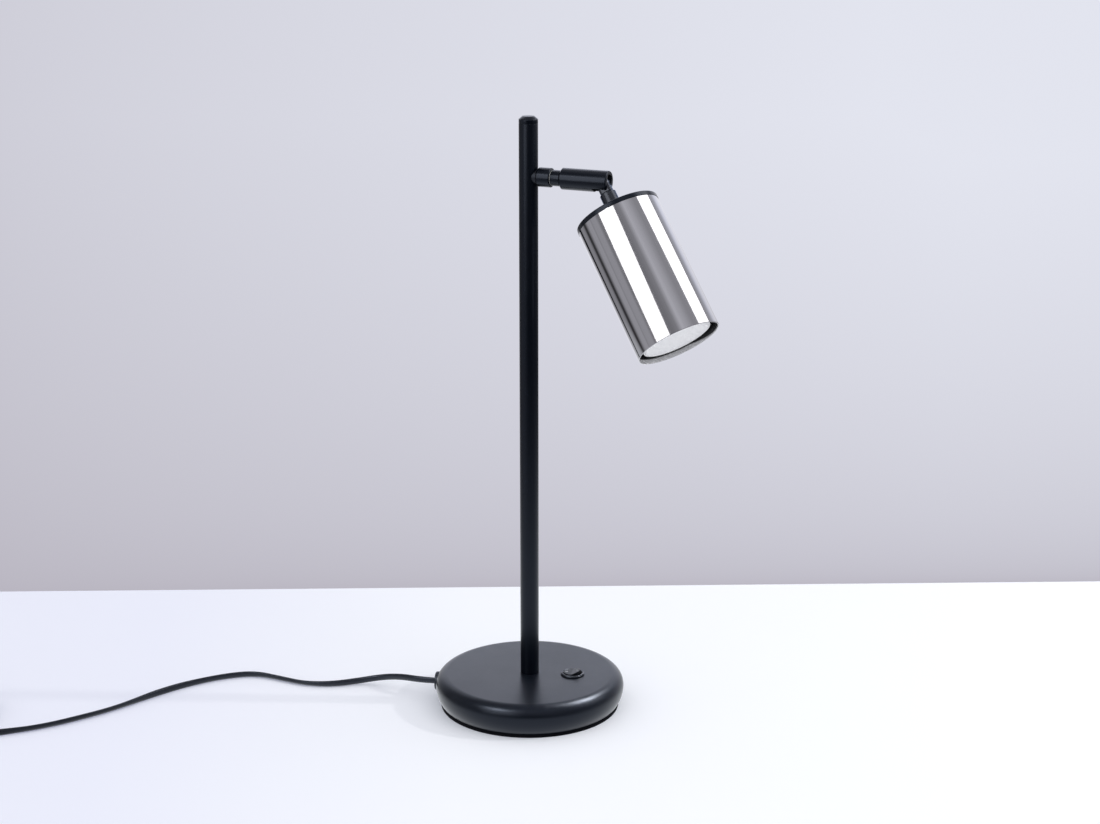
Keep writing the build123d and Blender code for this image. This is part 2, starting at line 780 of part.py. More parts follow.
with BuildPart() as arm_collar:
    with BuildSketch(arm_side):
        with BuildLine():
            Polyline(
                (collar_start, nipple_d / 2 + fit_gap),
                (collar_start, collar_d / 2 - collar_bevel),
                (collar_start + collar_bevel, collar_d / 2),
                (collar_end - 0.5 * collar_bevel, collar_d / 2),
                (collar_end, collar_d / 2 - 0.5 * collar_bevel),
                (collar_end, nipple_d / 2 + fit_gap),
                close=True,
            )
        make_face()
    revolve(axis=arm_axis)
    with BuildSketch(across_arm(collar_end)):
        with Locations((0, stop_pin_r)):
            Circle(stop_pin_d / 2 + fit_gap / 2)
    extrude(amount=-3, mode=Mode.SUBTRACT)
save(arm_collar, "arm_collar")

with BuildPart() as swivel_washer:
    with BuildSketch(across_arm(collar_end)):
        Circle(neck_d / 2 - 0.2)
        Circle(nipple_d / 2 + fit_gap, mode=Mode.SUBTRACT)
        with Locations((0, stop_pin_r)):
            Circle(stop_pin_d / 2 + fit_gap, mode=Mode.SUBTRACT)
    extrude(amount=swivel_washer_t)
save(swivel_washer, "swivel_washer")

with BuildPart() as stop_pin:
    with BuildSketch(across_arm(collar_end - 3)):
        with Locations((0, stop_pin_r)):
            Circle(stop_pin_d / 2)
    extrude(amount=3 + swivel_washer_t + stop_pin_out)
save(stop_pin, "stop_pin")

with BuildPart() as wave_washer:
    with BuildSketch(across_arm(spigot_end + run_gap)):
        Circle(clip_d / 2)
        Circle(nipple_d / 2 + fit_gap, mode=Mode.SUBTRACT)
    extrude(amount=wave_washer_t)
save(wave_washer, "wave_washer")

with BuildPart() as retaining_clip:
    with BuildSketch(across_arm(clip_x)):
        Circle(clip_d / 2)
        Circle(nipple_d / 2 - clip_groove + 0.02, mode=Mode.SUBTRACT)
        with Locations((0, -clip_d / 2)):
            Rectangle(1.5, clip_d, mode=Mode.SUBTRACT)
    extrude(amount=clip_t)
save(retaining_clip, "retaining_clip")

# Arm neck: turns on the nipple, with an arc groove for the stop pin
pin_turn = degrees(asin(stop_pin_d / 2 / stop_pin_r))
groove_arc = arm_swing + 2 * pin_turn + 2 * stop_spare
groove_start = 90 + 180 - arm_spin + (360 - groove_arc) / 2
groove_dir = Vector(0, cos(radians(groove_start)), sin(radians(groove_start)))
groove_depth = stop_pin_out + 0.2
groove_w = stop_pin_d + 0.2

with BuildPart() as arm_neck:
    with BuildSketch(arm_side):
        with BuildLine():
            Polyline(
                (neck_start, nipple_d / 2 + run_gap),
                (neck_start, neck_d / 2),
                (barrel_start, neck_d / 2),
                (barrel_start, spigot_d / 2),
                (spigot_end, spigot_d / 2),
                (spigot_end, nipple_d / 2 + run_gap),
                close=True,
            )
        make_face()
    revolve(axis=arm_axis)
    with BuildSketch(Plane(origin=(neck_start, 0, arm_z), x_dir=along_arm, z_dir=along_arm.cross(groove_dir))):
        with Locations((groove_depth / 2 - 0.5, stop_pin_r)):
            Rectangle(groove_depth + 1, groove_w)
    revolve(axis=arm_axis, revolution_arc=groove_arc, mode=Mode.SUBTRACT)
save(arm_neck, "arm_neck")

# Arm barrel: back bore for the neck, wire bore, and the slot that the knuckle's tang moves in
barrel_r = barrel_d / 2
pivot_head_seat = barrel_r - pivot_head_in - pivot_head_t
pivot_tip = barrel_r - pivot_tip_in

with BuildPart() as arm_barrel:
    with BuildSketch(arm_side):
        with BuildLine():
            Polyline(
                (barrel_start, spigot_d / 2 + fit_gap),
                (barrel_start, neck_d / 2),
                (barrel_start + barrel_bevel, barrel_r),
                (arm_reach - barrel_edge, barrel_r),
                (arm_reach, barrel_r - barrel_edge),
                (arm_reach, 0),
                (slot_start - 1, 0),
                (slot_start - 1, wire_bore / 2),
                (barrel_bore_end, wire_bore / 2),
                (barrel_bore_end, spigot_d / 2 + fit_gap),
                close=True,
            )
        make_face()
    revolve(axis=arm_axis)
    with BuildSketch(across_slot(slot_start)) as slot_section:
        with Locations((0, slot_top)):
            Rectangle(slot_w, slot_top + barrel_d, align=(Align.CENTER, Align.MAX))
        fillet(slot_section.vertices().group_by(Axis.Y)[-1], slot_crown)
    extrude(amount=barrel_d, mode=Mode.SUBTRACT)
    with BuildSketch(across_slot(slot_start - 2)):
        Circle(wire_bore / 2)
    extrude(amount=3, mode=Mode.SUBTRACT)
    with BuildSketch(across_tilt(-pivot_tip - 0.1)):
        Circle(pivot_screw_d / 2 + fit_gap)
    extrude(amount=pivot_tip + barrel_d, mode=Mode.SUBTRACT)
    with BuildSketch(across_tilt(pivot_head_seat)):
        Circle(pivot_head_d / 2 + 0.2)
    extrude(amount=barrel_d, mode=Mode.SUBTRACT)
save(arm_barrel, "arm_barrel")

with BuildPart() as arm_leads:
    with BuildSketch(across_slot(nipple_end + body_gap)):
        with GridLocations(lead_pitch, 1, 2, 1):
            Circle(lead_d / 2)
    extrude(amount=slot_start - body_gap - nipple_end - body_gap)
save(arm_leads, "arm_leads")

# Pivot screw, headed on the back, and the friction washers each side of the tang
with BuildPart() as pivot_screw:
    with BuildSketch(across_tilt(-pivot_tip)):
        Circle(pivot_screw_d / 2)
    extrude(amount=pivot_tip + pivot_head_seat)
    with BuildSketch(across_tilt(pivot_head_seat)):
        Circle(pivot_head_d / 2)
    extrude(amount=pivot_head_t)
    with BuildSketch(across_tilt(pivot_head_seat + pivot_head_t)):
        RegularPolygon(pivot_screw_d * 0.4, 6)
    extrude(amount=-pivot_head_t * 0.6, mode=Mode.SUBTRACT)
save(pivot_screw, "pivot_screw")

with BuildPart() as friction_washers:
    for side in (-1, 1):
        middle = side * (tang_t / 2 + run_gap + friction_washer_t / 2)
        with BuildSketch(across_tilt(middle - friction_washer_t / 2)):
            Circle(friction_washer_r)
            Circle(pivot_screw_d / 2 + fit_gap, mode=Mode.SUBTRACT)
        extrude(amount=friction_washer_t)
save(friction_washers, "friction_washers")

# Knuckle: round-ended tang, round neck and threaded spigot, drilled for the leads
cap_inside = shade_drop + cap_plate_t
washer_h = cap_inside + strap_t
head_nut_h = washer_h + head_washer_t
spigot_tip = head_nut_h + head_nut_t + head_spigot_end
knuckle_r = knuckle_d / 2
wire_mouth = pivot + front_dir * (tang_r + 1) + head_dir * (0.35 * shoulder)
wire_meet = pivot + head_dir * (0.85 * shoulder)

with BuildPart() as knuckle:
    with BuildSketch(across_head(0)) as tang_section:
        Rectangle(tang_t, tang_r, align=(Align.CENTER, Align.MAX))
        fillet(tang_section.vertices().group_by(Axis.Y)[0], tang_crown)
    revolve(axis=tilt_axis, revolution_arc=180)
    with BuildSketch(across_head(0)):
        RectangleRounded(tang_t, 2 * tang_r, tang_crown)
    extrude(amount=shoulder + knuckle_bevel)
    with BuildSketch(head_side):
        with BuildLine():
            Polyline(
                (shoulder, 0),
                (shoulder, knuckle_r - knuckle_bevel),
                (shoulder + knuckle_bevel, knuckle_r),
                (shade_drop, knuckle_r),
                (shade_drop, head_spigot_d / 2),
                (spigot_tip, head_spigot_d / 2),
                (spigot_tip, 0),
                close=True,
            )
        make_face()
    revolve(axis=head_axis)
    with BuildSketch(across_head(0.7 * shoulder)):
        Circle(nipple_bore / 2)
    extrude(amount=spigot_tip, mode=Mode.SUBTRACT)
    with BuildSketch(Plane(origin=wire_mouth, z_dir=wire_meet - wire_mouth)):
        Circle(wire_mouth_d / 2)
    extrude(amount=(wire_meet - wire_mouth).length, mode=Mode.SUBTRACT)
    with BuildSketch(across_tilt(-tang_t)):
        Circle(pivot_screw_d / 2 + run_gap)
    extrude(amount=2 * tang_t, mode=Mode.SUBTRACT)
save(knuckle, "knuckle")

# Shade cap, shade tube, and what holds the lampholder under the cap
shade_r = shade_d / 2
rim_r = shade_r + rim_proud
skirt_r = shade_r - shade_wall - fit_gap
rim_end = shade_drop + rim_h
mouth = shade_drop + shade_l

with BuildPart() as shade_cap:
    with BuildSketch(head_side):
        with BuildLine():
            Line((shade_drop, head_spigot_d / 2 + 0.1), (shade_drop, rim_r - rim_round))
            RadiusArc((shade_drop, rim_r - rim_round), (shade_drop + rim_round, rim_r), rim_round)
            Polyline(
                (shade_drop + rim_round, rim_r),
                (rim_end, rim_r),
                (rim_end, skirt_r),
                (rim_end + cap_skirt_l, skirt_r),
                (rim_end + cap_skirt_l, skirt_r - cap_skirt_t),
                (cap_inside, skirt_r - cap_skirt_t),
                (cap_inside, head_spigot_d / 2 + 0.1),
                (shade_drop, head_spigot_d / 2 + 0.1),
            )
        make_face()
    revolve(axis=head_axis)
save(shade_cap, "shade_cap")

with BuildPart() as shade_tube:
    with BuildSketch(across_head(rim_end)):
        Circle(shade_r)
        Circle(shade_r - shade_wall, mode=Mode.SUBTRACT)
    extrude(amount=mouth - rim_end)
save(shade_tube, "shade_tube")

lamp_face = mouth - lamp_recess
lamp_base = lamp_face - lamp_l
holder_face = lamp_base - body_gap
holder_top = holder_face - holder_l

with BuildPart() as holder_bracket:
    with BuildSketch(head_side) as strap_section:
        with Locations((cap_inside, 0)):
            Rectangle(strap_t, strap_span, align=(Align.MIN, Align.CENTER))
        for side in (-1, 1):
            leg = side * (strap_span - strap_t) / 2
            with Locations((cap_inside, leg)):
                Rectangle(holder_top - cap_inside, strap_t, align=(Align.MIN, Align.CENTER))
            foot = side * (strap_span - strap_foot) / 2
            with Locations((holder_top, foot)):
                Rectangle(strap_t, strap_foot, align=(Align.MAX, Align.CENTER))
    extrude(amount=strap_w / 2, both=True)
    with BuildSketch(across_head(cap_inside - 1)):
        Circle(head_spigot_d / 2 + 0.1)
    extrude(amount=strap_t + 2, mode=Mode.SUBTRACT)
    with BuildSketch(across_head(holder_top - strap_t - 1)):
        with GridLocations(holder_screw_pitch, 1, 2, 1):
            Circle(holder_screw_d / 2 + 0.1)
    extrude(amount=strap_t + 2, mode=Mode.SUBTRACT)
save(holder_bracket, "holder_bracket")

with BuildPart() as head_washer:
    with BuildSketch(across_head(washer_h)):
        Circle(head_washer_d / 2)
        Circle(head_spigot_d / 2 + 0.1, mode=Mode.SUBTRACT)
    extrude(amount=head_washer_t)
save(head_washer, "head_washer")

with BuildPart() as head_nut:
    with BuildSketch(across_head(head_nut_h)):
        RegularPolygon(head_nut_flats / 2, 6, major_radius=False)
        Circle(head_spigot_d / 2 + fit_gap, mode=Mode.SUBTRACT)
    extrude(amount=head_nut_t)
save(head_nut, "head_nut")

with BuildPart() as holder_screws:
    for side in (-1, 1):
        screw_at = tilt_dir * (side * holder_screw_pitch / 2)
        seat = pivot + head_dir * (holder_top - strap_t) + screw_at
        with BuildSketch(Plane(origin=seat, z_dir=head_dir)):
            Circle(holder_screw_d / 2)
        extrude(amount=holder_screw_l)
        with BuildSketch(Plane(origin=seat, z_dir=head_dir)):
            Circle(holder_screw_head_d / 2)
        extrude(amount=-holder_screw_head_t)
save(holder_screws, "holder_screws")

# Lampholder: ceramic, with keyhole slots that the lamp's pins turn in
pin_r = lamp_pin_pitch / 2
pin_travel = CenterArc((0, 0), pin_r, 90, lamp_twist)
free_angle = radians(90 + lamp_twist)
free_at = (pin_r * cos(free_angle), pin_r * sin(free_angle))
head_room = lamp_pin_head_d / 2 + body_gap
neck_room = lamp_pin_d / 2 + body_gap
pin_tip = lamp_base - lamp_pin_l
pin_neck = pin_tip + lamp_pin_head_l
cavity_top = pin_tip - body_gap
cavity_low = holder_face - holder_plate

with BuildPart() as lampholder:
    with BuildSketch(across_head(holder_top)):
        Circle(holder_d / 2)
    extrude(amount=holder_l)
    chamfer(lampholder.edges(), 0.8)
    with BuildSketch(across_head(cavity_low)):
        with PolarLocations(0, 2):
            SlotArc(pin_travel, 2 * neck_room)
        with PolarLocations(pin_r, 2, 90 + lamp_twist):
            Circle(head_room)
    extrude(amount=holder_plate, mode=Mode.SUBTRACT)
    with BuildSketch(across_head(cavity_top)):
        with PolarLocations(0, 2):
            SlotArc(pin_travel, 2 * head_room)
    extrude(amount=cavity_low - cavity_top, mode=Mode.SUBTRACT)
    with BuildSketch(across_head(holder_top)):
        with GridLocations(holder_screw_pitch, 1, 2, 1):
            Circle(holder_screw_d / 2 + fit_gap)
    extrude(amount=holder_screw_l, mode=Mode.SUBTRACT)
save(lampholder, "lampholder")

with BuildPart() as head_leads:
    with BuildSketch(across_head(shoulder - 0.5)):
        with GridLocations(lead_pitch, 1, 2, 1):
            Circle(lead_d / 2)
    extrude(amount=holder_top - shoulder + 0.5)
save(head_leads, "head_leads")

# Lamp: body, diffuser and two headed pins
lens_seat = lamp_face + lens_proud - lens_t
neck_low = lamp_base + lamp_neck_l
rim_low = lamp_face - lamp_rim_l

with BuildPart() as lamp_body:
    with BuildSketch(head_side):
        with BuildLine():
            Polyline(
                (lamp_base, 0),
                (lamp_base, lamp_neck_d / 2 - 1),
                (lamp_base + 1, lamp_neck_d / 2),
                (neck_low, lamp_neck_d / 2),
            )
            TangentArc((neck_low, lamp_neck_d / 2), (rim_low, lamp_d / 2 - 0.8), tangent=(1, 0.35))
            Polyline(
                (rim_low, lamp_d / 2 - 0.8),
                (rim_low + 0.8, lamp_d / 2),
                (lamp_face - 0.8, lamp_d / 2),
                (lamp_face, lamp_d / 2 - 0.8),
                (lamp_face, lens_d / 2 + fit_gap),
                (lens_seat, lens_d / 2 + fit_gap),
                (lens_seat, 0),
                (lamp_base, 0),
            )
        make_face()
    revolve(axis=head_axis)
save(lamp_body, "lamp_body")

with BuildPart() as lamp_lens:
    with BuildSketch(across_head(lens_seat)):
        Circle(lens_d / 2)
    extrude(amount=lens_t)
    fillet(lamp_lens.edges().sort_by(Axis(pivot, head_dir))[-1], 0.4)
save(lamp_lens, "lamp_lens")

with BuildPart() as lamp_pins:
    with BuildSketch(across_head(pin_tip)):
        with PolarLocations(pin_r, 2, 90):
            Circle(lamp_pin_head_d / 2)
    extrude(amount=lamp_pin_head_l)
    with BuildSketch(across_head(pin_neck)):
        with PolarLocations(pin_r, 2, 90):
            Circle(lamp_pin_d / 2)
    extrude(amount=lamp_pin_l - lamp_pin_head_l)
save(lamp_pins, "lamp_pins")

# Power cord: straight out of the grommet, down to the table and away to the left.
# The points are chosen by hand along the cord's track, and the arcs are as large as its runs allow.
cord_r = cord_d / 2
coil_z = tie_t + cord_r
cord_route = [
    (-69.4, -17.3, 12.8),
    (-81.0, -20.2, 12.8),
    (-98.0, -18.5, 11.0),
    (-116.5, -14.5, 6.2),
    (-133.5, -21.5, 3.0),
    (-148.5, -34.5, 2.5),
    (-169.0, -39.5, 2.5),
    (-192.0, -36.5, 2.5),
    (-213.5, -38.0, 2.5),
    (-231.0, -51.5, 2.5),
    (-247.0, -71.0, 2.5),
    (-260.0, -95.0, 2.5),
    (-271.0, -124.0, 2.5),
    (-284.0, -152.0, 2.5),
    (-304.0, -180.5, 2.5),
    (-331.0, -206.5, 3.3),
    (-361.5, -228.5, 3.3),
]


def bend_radii(points):
    """For each corner, 0.45 of its shorter run over the tangent of half its turn."""
    radii = []
    for before, here, after in zip(points, points[1:], points[2:]):
        turn = radians((here - before).get_angle(after - here))
        run = min((here - before).length, (after - here).length)
        radii.append(0.45 * run / tan(turn / 2))
    return radii


def cord_piece(points, name):
    """A cord's tube along a route, with its radii printed and its volume set against its length."""
    radii = bend_radii(points)
    print(f"{name}: radii", [round(r, 1) for r in radii])
    with BuildPart() as tube:
        with BuildLine() as line:
            FilletPolyline(*points, radius=radii)
        with BuildSketch(Plane(origin=points[0], z_dir=points[1] - points[0])):
            Circle(cord_r)
        sweep()
    length = sum(edge.length for edge in line.edges())
    ratio = tube.part.volume / (pi * cord_r**2 * length)
    print(f"{name}: length {length:.1f}, volume over section times length {ratio:.4f}")
    return tube


route_points = [Vector(*point) for point in cord_route]
route_points[0] = on_base(-base_r - grommet_flange_t, 0, cord_z)
power_cord = cord_piece(route_points, "power_cord")
save(power_cord, "power_cord")

# Coil: the length that is put away, spiralling in on the lower layer and out on the upper one
coil_from = route_points[-1]
coil_in_dir = (route_points[-1] - route_points[-2]).normalized()
coil_outer_r = coil_inner_r + coil_pitch * coil_turns / 2
coil_start = coil_from + coil_in_dir * cord_d
to_centre = Vector(coil_in_dir.Y, -coil_in_dir.X, 0)
coil_centre = coil_start + to_centre * coil_outer_r
start_angle = atan2(-to_centre.Y, -to_centre.X)


def coil_state(turn):
    """The point and the direction of the cord after so many turns, clockwise from above."""
    angle = start_angle - 2 * pi * turn
    off_middle = turn - coil_turns / 2
    r = coil_inner_r + coil_pitch * abs(off_middle)
    climb = min(max(off_middle * 2 + 0.5, 0), 1)
    z = coil_z + coil_pitch * (1 - cos(pi * climb)) / 2
    spread = 0
    if 0 < turn < coil_turns:
        spread = coil_pitch if off_middle > 0 else -coil_pitch
    rise = coil_pitch * pi * sin(pi * climb)
    out = Vector(cos(angle), sin(angle), 0)
    ahead = Vector(sin(angle), -cos(angle), 0)
    point = Vector(coil_centre.X, coil_centre.Y, z) + out * r
    direction = ahead * (2 * pi * r) + out * spread + Vector(0, 0, rise)
    return point, direction.normalized()


def biarc(p, t, q, u):
    """Two arcs, tangent to each other, from p along t to q along u, in the line in hand."""
    v = q - p
    along = v.dot(t + u)
    apart = 2 * (1 - t.dot(u))
    d = (sqrt(along**2 + apart * v.dot(v)) - along) / apart
    first = p + t * d
    second = q - u * d
    middle = (first + second) * 0.5
    TangentArc(p, middle, tangent=t)
    TangentArc(middle, q, tangent=(second - first).normalized())


coil_steps = int(round(coil_turns * coil_steps_per_turn))
coil_states = [coil_state(coil_turns * i / coil_steps) for i in range(coil_steps + 1)]
coil_end, coil_out_dir = coil_states[-1]

with BuildPart() as power_cord_coil:
    with BuildLine() as coil_line:
        Line(coil_from, coil_start)
        for (p, t), (q, u) in zip(coil_states, coil_states[1:]):
            biarc(p, t, q, u)
        Line(coil_end, coil_end + coil_out_dir * cord_d)
    with BuildSketch(Plane(origin=coil_from, z_dir=coil_in_dir)):
        Circle(cord_r)
    sweep()
save(power_cord_coil, "power_cord_coil")

coil_length = sum(edge.length for edge in coil_line.edges())
samples = [coil_state(coil_turns * i / 400)[0] for i in range(401)]
half_turn = int(200 / coil_turns)
least = min(
    (samples[i] - samples[j]).length for i in range(401) for j in range(i + half_turn, 401)
)
coil_ratio = power_cord_coil.part.volume / (pi * cord_r**2 * coil_length)
print(f"power_cord_coil: length {coil_length:.1f}, least gap {least - cord_d:.2f}, volume ratio {coil_ratio:.4f}")

# Tail from the coil to the plug, which lies beside it
tail_from = coil_end + coil_out_dir * cord_d
plug_axis_z = plug_h / 2
tail_run = 14.0
tail_points = [
    tail_from,
    tail_from + coil_out_dir * tail_run,
    tail_from + coil_out_dir * (2.1 * tail_run) + Vector(0, 0, plug_axis_z - tail_from.Z),
    tail_from + coil_out_dir * (3.1 * tail_run) + Vector(0, 0, plug_axis_z - tail_from.Z),
]
power_cord_tail = cord_piece(tail_points, "power_cord_tail")
save(power_cord_tail, "power_cord_tail")
print(f"cord from grommet to plug: {power_cord.part.volume / (pi * cord_r**2) + coil_length + 3.1 * tail_run:.0f}")

# Tie: a strap round the bundle of turns
tie_out = Vector(cos(radians(tie_angle)), sin(radians(tie_angle)), 0)
tie_mid_r = (coil_inner_r + coil_outer_r) / 2
tie_inner_w = coil_outer_r - coil_inner_r + cord_d + 2 * tie_room
tie_inner_h = coil_pitch + cord_d + 2 * fit_gap
tie_at = Vector(coil_centre.X, coil_centre.Y, 0) + tie_out * tie_mid_r
tie_plane = Plane(origin=tie_at, x_dir=tie_out, z_dir=tie_out.cross(Vector(0, 0, 1)))

with BuildPart() as cord_tie:
    with BuildSketch(tie_plane):
        with Locations((0, tie_t - fit_gap + tie_inner_h / 2)):
            RectangleRounded(tie_inner_w + 2 * tie_t, tie_inner_h + 2 * (tie_t - fit_gap), 2.2)
            RectangleRounded(tie_inner_w, tie_inner_h, 1.4, mode=Mode.SUBTRACT)
    extrude(amount=tie_w / 2, both=True)
save(cord_tie, "cord_tie")

# Plug: flat two-pin body with a tapered, grooved strain relief
plug_at = tail_points[-1]
plug_plane = Plane(origin=plug_at, x_dir=coil_out_dir, z_dir=(0, 0, 1))
plug_side = Plane(origin=plug_at, x_dir=coil_out_dir, z_dir=coil_out_dir.cross(Vector(0, 0, 1)))
plug_axis = Axis(plug_at, coil_out_dir)
plug_face = plug_relief_l + plug_l
shoulder_x = plug_face - plug_side_l

with BuildPart() as plug_body:
    with BuildSketch(plug_plane.offset(-plug_h / 2)) as plug_outline:
        with BuildLine():
            Polyline(
                (plug_relief_l, -plug_neck_w / 2),
                (shoulder_x, -plug_w / 2),
                (plug_face, -plug_w / 2),
                (plug_face, plug_w / 2),
                (shoulder_x, plug_w / 2),
                (plug_relief_l, plug_neck_w / 2),
                close=True,
            )
        make_face()
        fillet(plug_outline.vertices().sort_by(Axis.X)[2:4], plug_shoulder_r)
        fillet(plug_outline.vertices().sort_by(Axis.X)[-2:], plug_corner_r)
    extrude(amount=plug_h)
    long_edges = plug_body.edges().group_by(Axis.Z)
    fillet(long_edges[0] + long_edges[-1], plug_edge_r)
    with BuildSketch(plug_side):
        with BuildLine():
            Polyline(
                (0, 0),
                (0, plug_relief_tip_d / 2),
                (plug_relief_l, plug_relief_d / 2),
                (plug_relief_l + 2, plug_relief_d / 2),
                (plug_relief_l + 2, 0),
                close=True,
            )
        make_face()
    revolve(axis=plug_axis)
    groove_step = (plug_relief_l - 6) / plug_relief_grooves
    with BuildSketch(plug_side):
        for i in range(plug_relief_grooves):
            groove_x = 4 + groove_step * (i + 0.5)
            slope_r = plug_relief_tip_d / 2 + (plug_relief_d - plug_relief_tip_d) / 2 * groove_x / plug_relief_l
            with Locations((groove_x, slope_r + 0.4)):
                Rectangle(1.4, 2.2)
    revolve(axis=plug_axis, mode=Mode.SUBTRACT)
    with BuildSketch(Plane(origin=plug_at + coil_out_dir * plug_face, x_dir=plug_plane.y_dir, z_dir=coil_out_dir)):
        with GridLocations(plug_pin_pitch, 1, 2, 1):
            Circle(plug_sleeve_d / 2)
    extrude(amount=plug_sleeve_l)
    with BuildSketch(Plane(origin=plug_at + coil_out_dir * (plug_face - plug_pin_root_l), x_dir=plug_plane.y_dir, z_dir=coil_out_dir)):
        with GridLocations(plug_pin_pitch, 1, 2, 1):
            Circle(plug_pin_core_d / 2 + fit_gap / 2)
    extrude(amount=plug_sleeve_l + plug_pin_root_l, mode=Mode.SUBTRACT)
save(plug_body, "plug_body")

with BuildPart() as plug_pins:
    with BuildSketch(Plane(origin=plug_at + coil_out_dir * (plug_face - plug_pin_root_l), x_dir=plug_plane.y_dir, z_dir=coil_out_dir)):
        with GridLocations(plug_pin_pitch, 1, 2, 1):
            Circle(plug_pin_core_d / 2)
    extrude(amount=plug_sleeve_l + plug_pin_root_l)
    with BuildSketch(Plane(origin=plug_at + coil_out_dir * (plug_face + plug_sleeve_l), x_dir=plug_plane.y_dir, z_dir=coil_out_dir)):
        with GridLocations(plug_pin_pitch, 1, 2, 1):
            Circle(plug_pin_d / 2)
    extrude(amount=plug_pin_l - plug_sleeve_l)
    fillet(plug_pins.edges().group_by(Axis(plug_at, coil_out_dir))[-1], plug_pin_tip_r)
save(plug_pins, "plug_pins")

pin_root = plug_at + coil_out_dir * (plug_face + plug_sleeve_l)
print("coil centre", coil_centre, "plug pins from", pin_root, "along", coil_out_dir)
print("pivot", pivot, "tilt", tilt_dir, "head", head_dir, "mouth", pivot + head_dir * mouth)
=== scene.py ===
import json
from math import asin, atan2, cos, degrees, pi, radians, sin, sqrt, tan

import bmesh
import bpy
from mathutils import Matrix, Vector


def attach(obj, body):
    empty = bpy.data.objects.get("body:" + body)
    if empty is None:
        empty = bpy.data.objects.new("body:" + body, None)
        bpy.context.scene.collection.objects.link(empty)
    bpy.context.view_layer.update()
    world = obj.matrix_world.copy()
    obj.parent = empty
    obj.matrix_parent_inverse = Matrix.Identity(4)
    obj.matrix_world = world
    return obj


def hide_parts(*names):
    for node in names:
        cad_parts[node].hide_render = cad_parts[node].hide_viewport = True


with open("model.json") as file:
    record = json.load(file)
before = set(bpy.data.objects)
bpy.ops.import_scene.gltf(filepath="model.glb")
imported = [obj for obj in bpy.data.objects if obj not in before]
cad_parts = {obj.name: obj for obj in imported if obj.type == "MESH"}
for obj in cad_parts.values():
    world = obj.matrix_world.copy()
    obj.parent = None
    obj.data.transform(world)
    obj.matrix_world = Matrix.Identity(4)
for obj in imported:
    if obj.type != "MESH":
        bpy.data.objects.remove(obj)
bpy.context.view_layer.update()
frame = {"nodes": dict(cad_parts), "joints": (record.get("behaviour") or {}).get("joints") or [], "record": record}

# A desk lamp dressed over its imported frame: satin black paint, a smoked chrome shade and a black
# cord. Outlines are in millimetres, as (along the axis, radius) or (across, up), and turned into
# metres where a piece is made. A third number at a corner is the radius of its edge. Routes, drill
# ends and places in the room are in metres.

mm = 0.001
joints = {joint["name"]: joint for joint in frame["joints"]}

# Sizes of the stand
base_r = 70.0
base_h = 24.5
base_round = 9.3
base_foot_in = 4.3
cover_wall = 1.2
cover_ring_r = 12.0
nipple_hole_r = 4.2
pad_t = 2.5
pad_proud = 0.5
pole_r = 6.8
pole_wall = 1.0
lamp_h = 440.0
cap_rim_h = 5.2
cap_bevel = 2.1
cap_dome = 0.35
cap_spigot_l = 9.0
cap_fit = 0.025
switch_body_r = 7.5
switch_bezel_r = 8.75
switch_bezel_h = 1.5
switch_bezel_slope = 0.55
switch_pocket_wall = 0.65
switch_pocket_lip = 0.4
switch_pocket_depth = 3.37
switch_depth = 12.0
rocker_r = 6.2
rocker_edge = 0.35
rocker_swing = 20.0
rocker_valley = 9.0
rocker_soft = 0.35
rocker_rise = 2.0
rocker_drop = 1.5
rocker_pin_r = 1.0
mark_x = 3.9
mark_t = 0.02
mark_lift = 0.005
bar_l = 1.8
bar_w = 0.3
ring_r = (0.85, 0.58)
grommet_hole_r = 5.1
outlet_cut_in = 4.5
cord_z = 12.8

# Sizes of the arm
collar_start = 7.6
collar_end = 17.9
collar_r = 6.85
collar_bevel = 1.0
collar_nose = 0.5
neck_start = 18.25
neck_r = 5.675
barrel_start = 24.7
barrel_full = 26.3
barrel_end = 60.8
barrel_r = 7.65
barrel_bevel = 0.6
spigot_end = 30.7
spigot_r = 5.45
barrel_bore_end = 35.2
nipple_r = 3.5
wire_bore_r = 3.0
slot_start = 50.25
slot_w = 8.4
slot_top = 4.9
slot_crown = 2.0
slot_run = 20.0
slot_break = 2.0
pivot_hole_r = 1.55
pivot_head_r = 2.9
pivot_head_seat = 5.6
pivot_tip = 7.0
pivot_drill_end = 12.0
pivot_head_run = 8.0
fit = 0.05
drill_play = 0.1
drill_reach = 10.0

# Sizes of the head, along the shade's axis from the pivot
tang_r = 4.6
tang_t = 7.0
tang_crown = 2.4
tang_drill_end = 6.0
shoulder = 9.5
shoulder_bevel = 0.8
knuckle_r = 5.8
knuckle_spigot_r = 4.0
spigot_tip = 33.3
lead_bore_r = 2.3
lead_bore_end = 40.0
lead_mouth_r = 1.2
# How far from the pivot the knuckle's tang is painted lighter: a painted highlight, with rubbing
tang_highlight_r = 4.5
tang_highlight_fade_r = 6.2
shade_drop = 25.3
shade_r = 30.0
shade_wall = 0.8
rim_proud = 0.2
rim_end = 28.9
rim_round = 1.0
cap_hole_r = 4.1
cap_inside = 26.5
skirt_r = 29.15
skirt_t = 1.1
skirt_end = 36.0
mouth = 128.2
lamp_base = 78.2
lamp_face = 125.2
lamp_neck_r = 13.5
lamp_neck_end = 91.2
lamp_rim = 117.2
lamp_r = 25.0
lamp_lip = 0.8
lens_r = 23.5
lens_t = 1.5
lens_proud = 0.2

